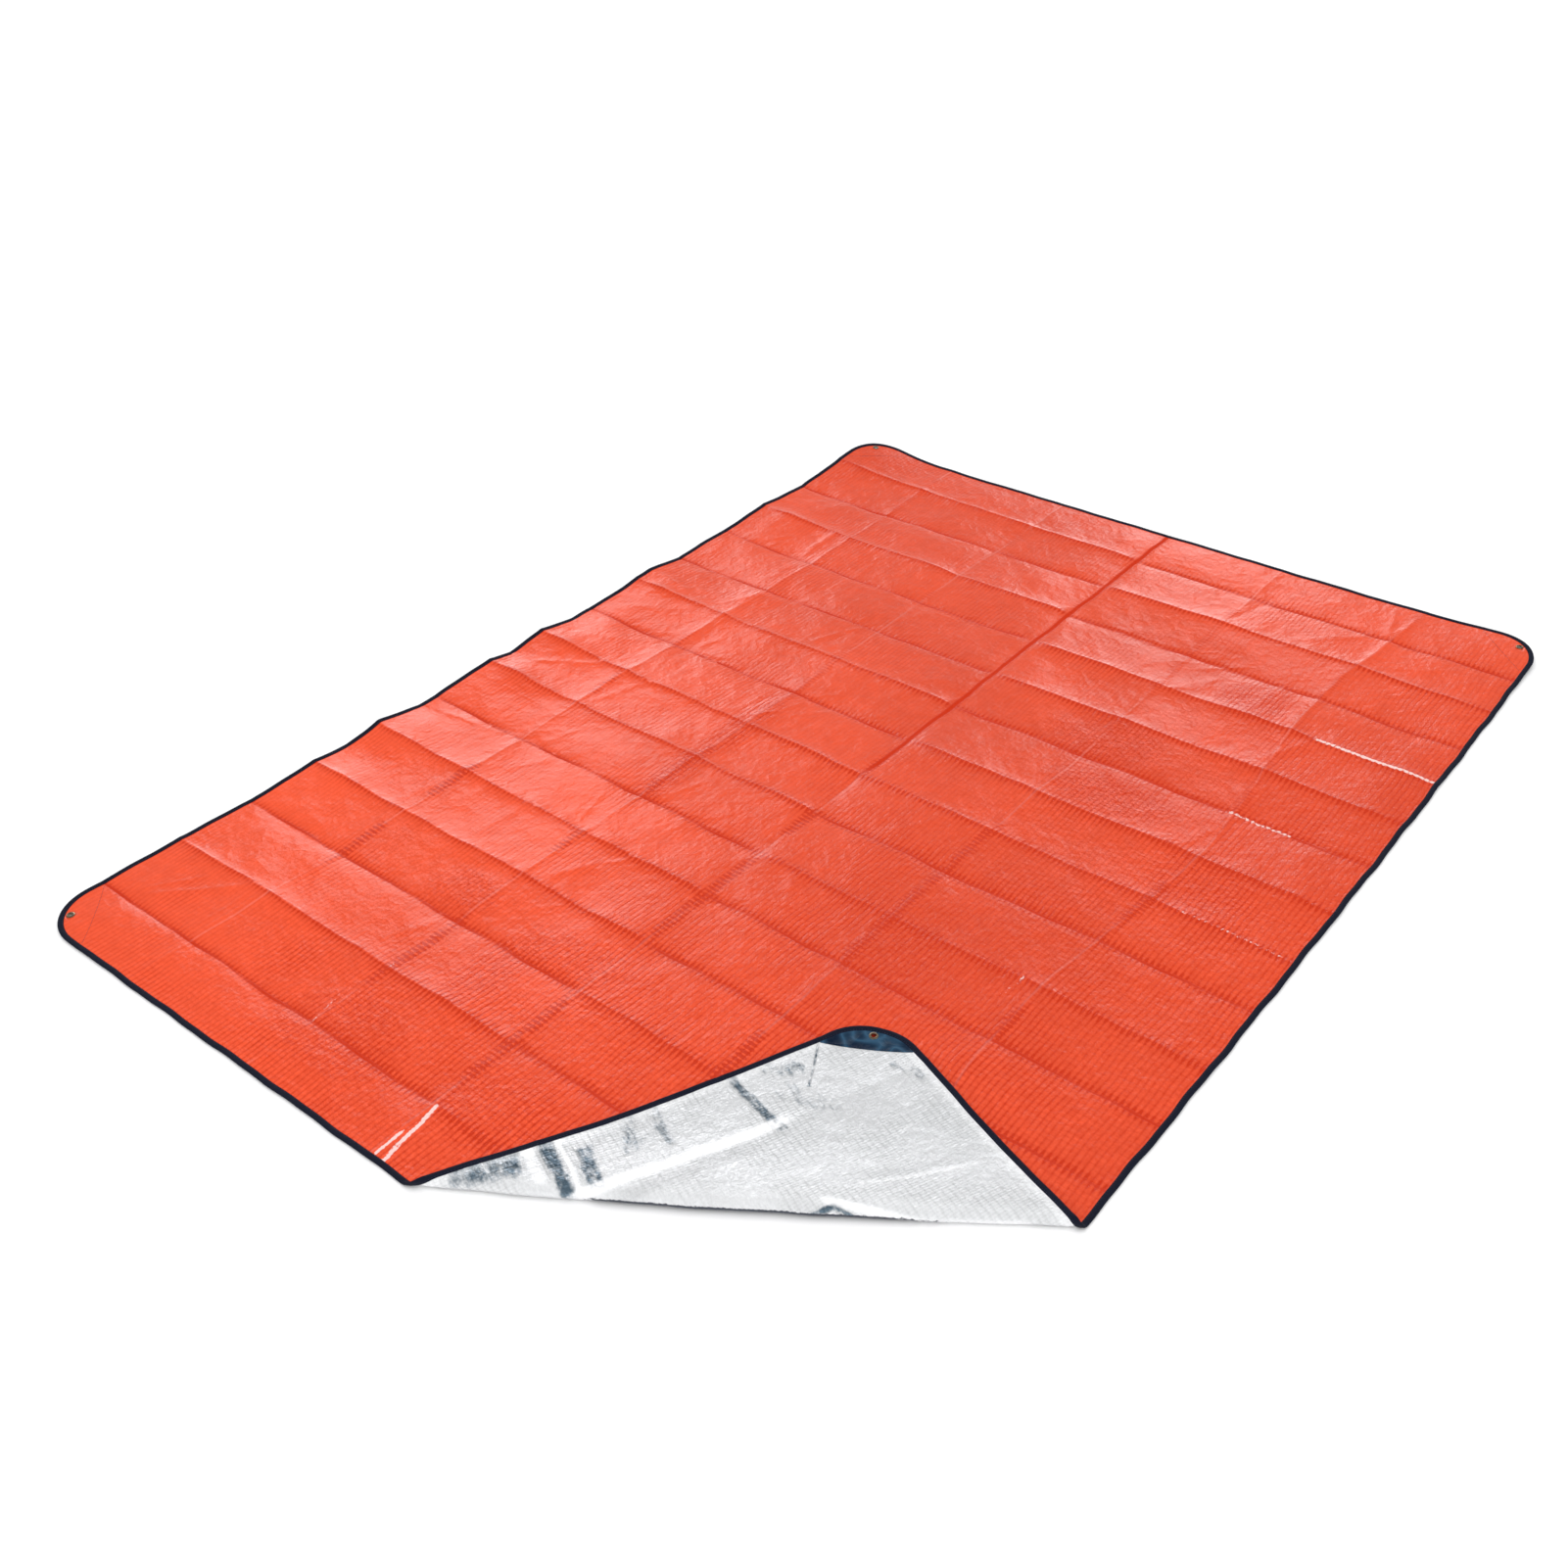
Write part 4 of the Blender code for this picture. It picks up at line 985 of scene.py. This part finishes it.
class BLANKET_OT_set_stage(bpy.types.Operator):
    """Adds the pale floor, the soft lights and the camera"""

    bl_idname = "blanket.set_stage"
    bl_label = "Set Stage"

    def execute(self, context):
        stage = context.scene.blanket_stage
        self.add_camera(context, stage)
        self.add_floor(stage)
        self.add_overhead(context, stage)
        self.add_sky(context, stage)
        context.scene.view_settings.view_transform = "Standard"
        return {"FINISHED"}

    def add_camera(self, context, stage):
        lens = bpy.data.cameras.new("camera")
        lens.lens = stage.lens
        lens.sensor_width = 36
        camera = bpy.data.objects.new("camera", lens)
        up = np.cross(CAMERA_RIGHT, CAMERA_FORWARD)
        turned = Matrix(np.stack((CAMERA_RIGHT, up, -CAMERA_FORWARD), axis=-1).tolist()).to_4x4()
        camera.matrix_world = Matrix.Translation(CAMERA_PLACE) @ turned
        context.scene.collection.objects.link(camera)
        context.scene.camera = camera

    def add_floor(self, stage):
        reach = np.array(((-1, -1), (1, -1), (1, 1), (-1, 1))) * FLOOR_REACH
        corners = np.concatenate((reach, np.full((4, 1), -0.5 * MM)), axis=1)
        finish = Finish("floor_paint")
        finish.set(Base_Color=stage.floor, Roughness=0.85 + finish.noise(finish.own_place(), 3.0) * 0.1)
        make_piece("floor", corners, np.array(((0, 1, 2, 3),)), [finish.material], reach)

    def add_overhead(self, context, stage):
        """A broad soft light from above, that the gloss doesn't mirror."""
        data = bpy.data.lights.new("overhead_light", "SUN")
        data.angle = math.radians(100)
        data.energy = stage.key
        light = bpy.data.objects.new("overhead_light", data)
        light.rotation_euler = (math.radians(8), math.radians(-8), 0)
        light.visible_glossy = False
        light.visible_camera = False
        context.scene.collection.objects.link(light)

    def add_sky(self, context, stage):
        """White round the horizon, dim overhead, and two low softboxes beyond the cloth.

        A softbox is 1 between two bearings and below its top, with soft steps at its edges. The camera
        itself sees only white.
        """
        world = bpy.data.worlds.new("sky")
        world.use_nodes = True
        context.scene.world = world
        nodes = Nodes(world.node_tree)
        ahead, aside, height = nodes.split(nodes.node("ShaderNodeTexCoord"))
        bearing = nodes.node("ShaderNodeMath", {"operation": "ARCTAN2"}, {0: aside, 1: ahead}) * (180 / math.pi)
        below = 1 - height.between(0.54, 0.66)
        far_box = bearing.between(37, 47) * (1 - bearing.between(54, 61)) * (1 - height.between(0.58, 0.72))
        right_box = bearing.between(17, 20.5) * (1 - bearing.between(25, 28)) * below
        grey = 1.0 - height.between(0.0, 0.48) * 0.72 - height.between(0.50, 0.80) * 0.12
        seen = nodes.node("ShaderNodeLightPath")
        grey = seen + (grey + (far_box + right_box * 0.9) * stage.box) * (1 - seen)
        colour = nodes.node("ShaderNodeCombineColor", None, {0: grey, 1: grey, 2: grey * 1.02})
        nodes.plug(world.node_tree.nodes["Background"].inputs["Color"], colour)


class BLANKET_OT_lay_cloth(bpy.types.Operator):
    """Lays the thin laminated cloth on the solid's folds, orange above and silver below"""

    bl_idname = "blanket.lay_cloth"
    bl_label = "Lay Cloth"

    def execute(self, context):
        cloth = context.scene.blanket_cloth
        edge, inward, _ = edge_walk()
        outline = edge + inward * RAW_EDGE
        holes = [ring(eyelet_centre(corner), HOLE, HOLE_SIDES) for corner in CORNERS]
        grid = fold_grid(*PANEL_GRID)
        grid = grid[~in_roll(grid) & ~near_wrinkle(grid)]
        loose = np.concatenate((line_grid(WORN_LINES, 5 * MM, (-1.25, -0.25, 0.25, 1.25)),
                                line_grid(WRINKLES, 7 * MM, (-1.3, -0.5, 0, 0.5, 1.3))))
        loose = loose[~in_roll(loose)]
        rumpled = line_grid(RUMPLES, 6 * MM, (-1.5, -1.0, -0.5, 0, 0.5, 1.0, 1.5))
        shiny = line_grid(SHEENS, 8 * MM, (-1.5, -0.75, 0, 0.75, 1.5))
        inside = np.concatenate((roll_grid(7 * MM, 12), loose, rumpled, shiny, grid))
        inside = inside[inside_edge(*inside.T) > RAW_EDGE + 2 * MM]
        for hole in holes:
            inside = apart_from(inside, hole.mean(axis=0), 6.2 * MM)
        inside = thin_out(inside)
        flat, triangles = cut_out(outline, holes, inside)
        middle = lay_out(*flat.T)
        side = orange_side(*flat.T) * cloth.thickness / 2
        points, faces = between(middle + side, middle - side, triangles)
        kinds = np.ones(len(faces))
        kinds[:len(triangles)] = 0
        values = {name: np.tile(column, 2) for name, column in cloth_values(flat).items()}
        piece = make_piece("laminated_cloth", points, faces, [laminate_finish(cloth), silver_finish(cloth)],
                           np.tile(flat, (2, 1)), kinds, values)
        hand_over(piece, ["sheet"])
        return {"FINISHED"}


def tape_section(width, half_cloth):
    """The tape's section as inset from the finished edge and height off the cloth's middle, in metres."""
    width, hem = width / MM, half_cloth / MM + 0.05
    upper = ((width, hem), (width + 0.1, 0.62), (width - 0.3, 0.98), (width - 1.3, 1.20), (width - 2.6, 1.62),
             (0.55 * width, 1.92), (0.32 * width, 1.92), (0.14 * width, 1.72), (0.04 * width, 1.15), (0.0, 0.45))
    lower = tuple((inset, -height) for inset, height in reversed(upper))
    return MM * np.array(upper + lower + ((0.12 * width, -hem), (0.12 * width, hem)))


def raised(flat, height):
    """Points at a height off the cloth's middle surface, on its orange side where that is above 0."""
    return lay_out(*np.moveaxis(flat, -1, 0)) + orange_side(*np.moveaxis(flat, -1, 0)) * np.asarray(height)[..., None]


def stitch_rows(starts, ends, height, thread):
    """Stitches as four-sided spindles of four rings, from starts to ends on the flat cloth, laid at a height."""
    flat = starts[:, None, :] + (ends - starts)[:, None, :] * THREAD_SHARES[None, :, None]
    centre = raised(flat, height + np.sign(height) * thread * np.tile(THREAD_SINK, (len(starts), 1)))
    normal = orange_side(*np.moveaxis(flat, -1, 0))
    way = centre[:, -1] - centre[:, 0]
    across = unit(np.cross(normal, way[:, None, :]))
    spoke = ring((0, 0), thread, 4)
    spoke = spoke[:, :1] * across[:, :, None, :] + spoke[:, 1:] * normal[:, :, None, :]
    points = centre[:, :, None, :] + spoke * THREAD_RADII[:, None, None]
    faces = np.concatenate((grid_faces(4, 4, closed=False)[:, (0, 3, 2, 1)], ((0, 1, 2, 3), (15, 14, 13, 12))))
    faces = faces + 16 * np.arange(len(starts))[:, None, None]
    return points.reshape(-1, 3), faces.reshape(-1, 4), np.repeat(flat.reshape(-1, 2), 4, axis=0)


class BLANKET_OT_bind_edge(bpy.types.Operator):
    """Folds the navy tape over the raw edge and sews it on"""

    bl_idname = "blanket.bind_edge"
    bl_label = "Bind Edge"

    def execute(self, context):
        cloth, trim = context.scene.blanket_cloth, context.scene.blanket_trim
        edge, inward, walked = edge_walk()
        section = tape_section(trim.tape_width, cloth.thickness / 2)
        flat = edge[:, None, :] + inward[:, None, :] * section[None, :, :1]
        points = raised(flat, np.broadcast_to(section[:, 1], flat.shape[:2]))
        tape = make_swept("edge_tape", points, walked[:-1, None], section[:, 0], tape_finish(trim))
        hand_over(tape, ["binding"])

        length = walked[-1]
        stitches = int(length / trim.stitch_pitch)
        at = np.arange(stitches) / stitches * length
        line = edge + inward * (trim.tape_width - 1.5 * MM)
        line = np.concatenate((line, line[:1]))
        starts = walk_on(line, walked, at)
        ends = walk_on(line, walked, (at + 0.62 * trim.stitch_pitch) % length)
        blocks = [stitch_rows(starts, ends, side * 1.22 * MM, 0.28 * MM) for side in (1, -1)]
        hand_over(join_blocks("edge_stitches", blocks, thread_finish(trim)), [])
        return {"FINISHED"}


def join_blocks(name, blocks, material):
    """One piece from several blocks of points, faces and charts."""
    starts = np.cumsum([0] + [len(block[0]) for block in blocks[:-1]])
    points = np.concatenate([block[0] for block in blocks])
    faces = np.concatenate([block[1] + start for block, start in zip(blocks, starts)])
    chart = np.concatenate([block[2] for block in blocks])
    return make_piece(name, points, faces, [material], chart)


def seam_line(corner, count):
    """Points on the inner edge of a corner's patch, from one leg's end under the tape to the other's."""
    reach_along, reach_down = corner[3:5]
    share = np.linspace(0, 1, count)
    scale = 1 + SEAM_BOW * 4 * share * (1 - share)
    along = HEM + reach_along * share * scale
    down = HEM + reach_down * (1 - share) * scale
    return np.stack((along, down), axis=-1)


def at_corner(local, corner):
    """Flat coordinates of points given as distances in from a corner's two edges."""
    right, near = corner[1:3]
    return np.stack((np.abs(local[..., 0] - right * LENGTH), np.abs(local[..., 1] - near * WIDTH)), axis=-1)


class BLANKET_OT_sew_patches(bpy.types.Operator):
    """Sews a navy patch on the silver side of each corner"""

    bl_idname = "blanket.sew_patches"
    bl_label = "Sew Patches"

    def execute(self, context):
        cloth, trim = context.scene.blanket_cloth, context.scene.blanket_trim
        patch, thread = patch_finish(trim), thread_finish(trim)
        blocks = []
        for corner in CORNERS:
            seam = seam_line(corner, 26)
            arc = CORNER_RADIUS + (CORNER_RADIUS - TUCK) * spokes(np.linspace(1.5 * math.pi, math.pi, 24))
            outline = np.concatenate((seam[:1] * (0, 1) + (TUCK, 0), seam, seam[-1:] * (1, 0) + (0, TUCK), arc))
            apart = np.append(True, np.diff(distances(outline)) > 0.5 * MM)
            outline = outline[apart & (outline.min(axis=1) < CORNER_RADIUS)]
            steps = np.arange(5 * MM, 0.125, 5 * MM)
            inside = np.stack(np.meshgrid(steps, steps), axis=-1).reshape(-1, 2)
            past = CORNER_RADIUS - inside
            rounded = (past.min(axis=1) > 0) & (np.hypot(*past.T) > CORNER_RADIUS - TUCK - 3 * MM)
            inside = inside[(((inside - HEM) / corner[3:5]).sum(axis=1) < 0.97) & ~rounded]
            local_eyelet = np.abs(eyelet_centre(corner) - (corner[1] * LENGTH, corner[2] * WIDTH))
            inside = apart_from(inside, local_eyelet, 7 * MM)
            hole = at_corner(ring(local_eyelet, HOLE, HOLE_SIDES), corner)
            flat, triangles = cut_out(at_corner(outline, corner), [hole], at_corner(inside, corner))
            face = cloth.thickness / 2 + LAYER_GAP
            points, faces = between(raised(flat, -face), raised(flat, -face - PATCH_CLOTH), triangles)
            piece = make_piece("patch_" + corner[0], points, faces, [patch], np.tile(flat, (2, 1)), sharp=40)
            hand_over(piece, ["corner_patch_" + corner[0]])

            line = seam_line(corner, 400) - 2.2 * MM
            walked = distances(line)
            at = np.arange(4 * MM, walked[-1] - 6 * MM, 3.6 * MM)
            starts, ends = (at_corner(walk_on(line, walked, place), corner) for place in (at, at + 2.3 * MM))
            for height in (cloth.thickness / 2 + 0.1 * MM, -face - PATCH_CLOTH - 0.08 * MM):
                blocks.append(stitch_rows(starts, ends, height, 0.34 * MM))
        hand_over(join_blocks("patch_stitches", blocks, thread), [])
        return {"FINISHED"}


class BLANKET_OT_set_eyelets(bpy.types.Operator):
    """Sets a stamped eyelet through each corner and its patch"""

    bl_idname = "blanket.set_eyelets"
    bl_label = "Set Eyelets"

    def execute(self, context):
        trim = context.scene.blanket_trim
        material = eyelet_finish(trim)
        bore, rim = trim.eyelet_bore / MM, trim.eyelet_flange / MM
        profile = MM * np.array((
            (bore, -1.6), (bore + 0.15, -1.95), (bore + 0.6, -2.2), (bore + 1.2, -2.15), (rim - 0.7, -1.75),
            (rim - 0.1, -1.25), (rim, -0.95), (rim - 0.25, -0.80), (bore + 0.75, -0.80), (bore + 0.65, -0.5),
            (bore + 0.65, 0.5), (bore + 0.75, 0.35), (rim - 0.25, 0.32), (rim, 0.50), (rim - 0.1, 0.85),
            (rim - 0.7, 1.30), (bore + 1.2, 1.65), (bore + 0.6, 1.68), (bore + 0.15, 1.40), (bore, 1.0),
        ))
        angle = 2 * math.pi * np.arange(RING_SIDES) / RING_SIDES
        for corner in CORNERS:
            along, down = eyelet_centre(corner)
            centre = lay_out(along, down)
            axis = orange_side(along, down)
            across = lay_out(along + 2 * MM, down) - lay_out(along - 2 * MM, down)
            across = unit(across - axis * (across @ axis))
            turned = spokes(angle) @ np.stack((across, np.cross(axis, across)))
            points = centre + profile[:, None, :1] * turned + profile[:, None, 1:] * axis
            piece = make_swept("ring_" + corner[0], points, angle * 4 * MM, profile[:, 1:], material, sharp=60)
            hand_over(piece, ["eyelet_" + corner[0]])
        return {"FINISHED"}


class BLANKET_PT_panel(bpy.types.Panel):
    """Lists the settings and the steps in the sidebar."""

    bl_idname = "BLANKET_PT_panel"
    bl_label = "Emergency Foil Blanket"
    bl_space_type = "VIEW_3D"
    bl_region_type = "UI"
    bl_category = "Blanket"

    def draw(self, context):
        for name in SETTINGS:
            group = getattr(context.scene, name)
            box = self.layout.box()
            for label in group.__annotations__:
                box.prop(group, label)
        for operator in OPERATORS:
            self.layout.operator(operator.bl_idname)


SETTINGS = {"blanket_cloth": ClothSettings, "blanket_trim": TrimSettings, "blanket_stage": StageSettings}
OPERATORS = (BLANKET_OT_set_stage, BLANKET_OT_lay_cloth, BLANKET_OT_bind_edge, BLANKET_OT_sew_patches,
             BLANKET_OT_set_eyelets)


def register():
    for group in (*SETTINGS.values(), *OPERATORS, BLANKET_PT_panel):
        bpy.utils.register_class(group)
    for name, group in SETTINGS.items():
        setattr(bpy.types.Scene, name, PointerProperty(type=group))


def unregister():
    for name in SETTINGS:
        delattr(bpy.types.Scene, name)
    for group in (BLANKET_PT_panel, *reversed(OPERATORS), *SETTINGS.values()):
        bpy.utils.unregister_class(group)


def main():
    register()
    bpy.ops.blanket.set_stage()
    bpy.ops.blanket.lay_cloth()
    bpy.ops.blanket.bind_edge()
    bpy.ops.blanket.sew_patches()
    bpy.ops.blanket.set_eyelets()
    sewn_on = ["edge_tape", "edge_stitches", "patch_stitches"]
    sewn_on += ["patch_" + corner[0] for corner in CORNERS] + ["ring_" + corner[0] for corner in CORNERS]
    bpy.context.view_layer.update()


if __name__ == "__main__":
    main()
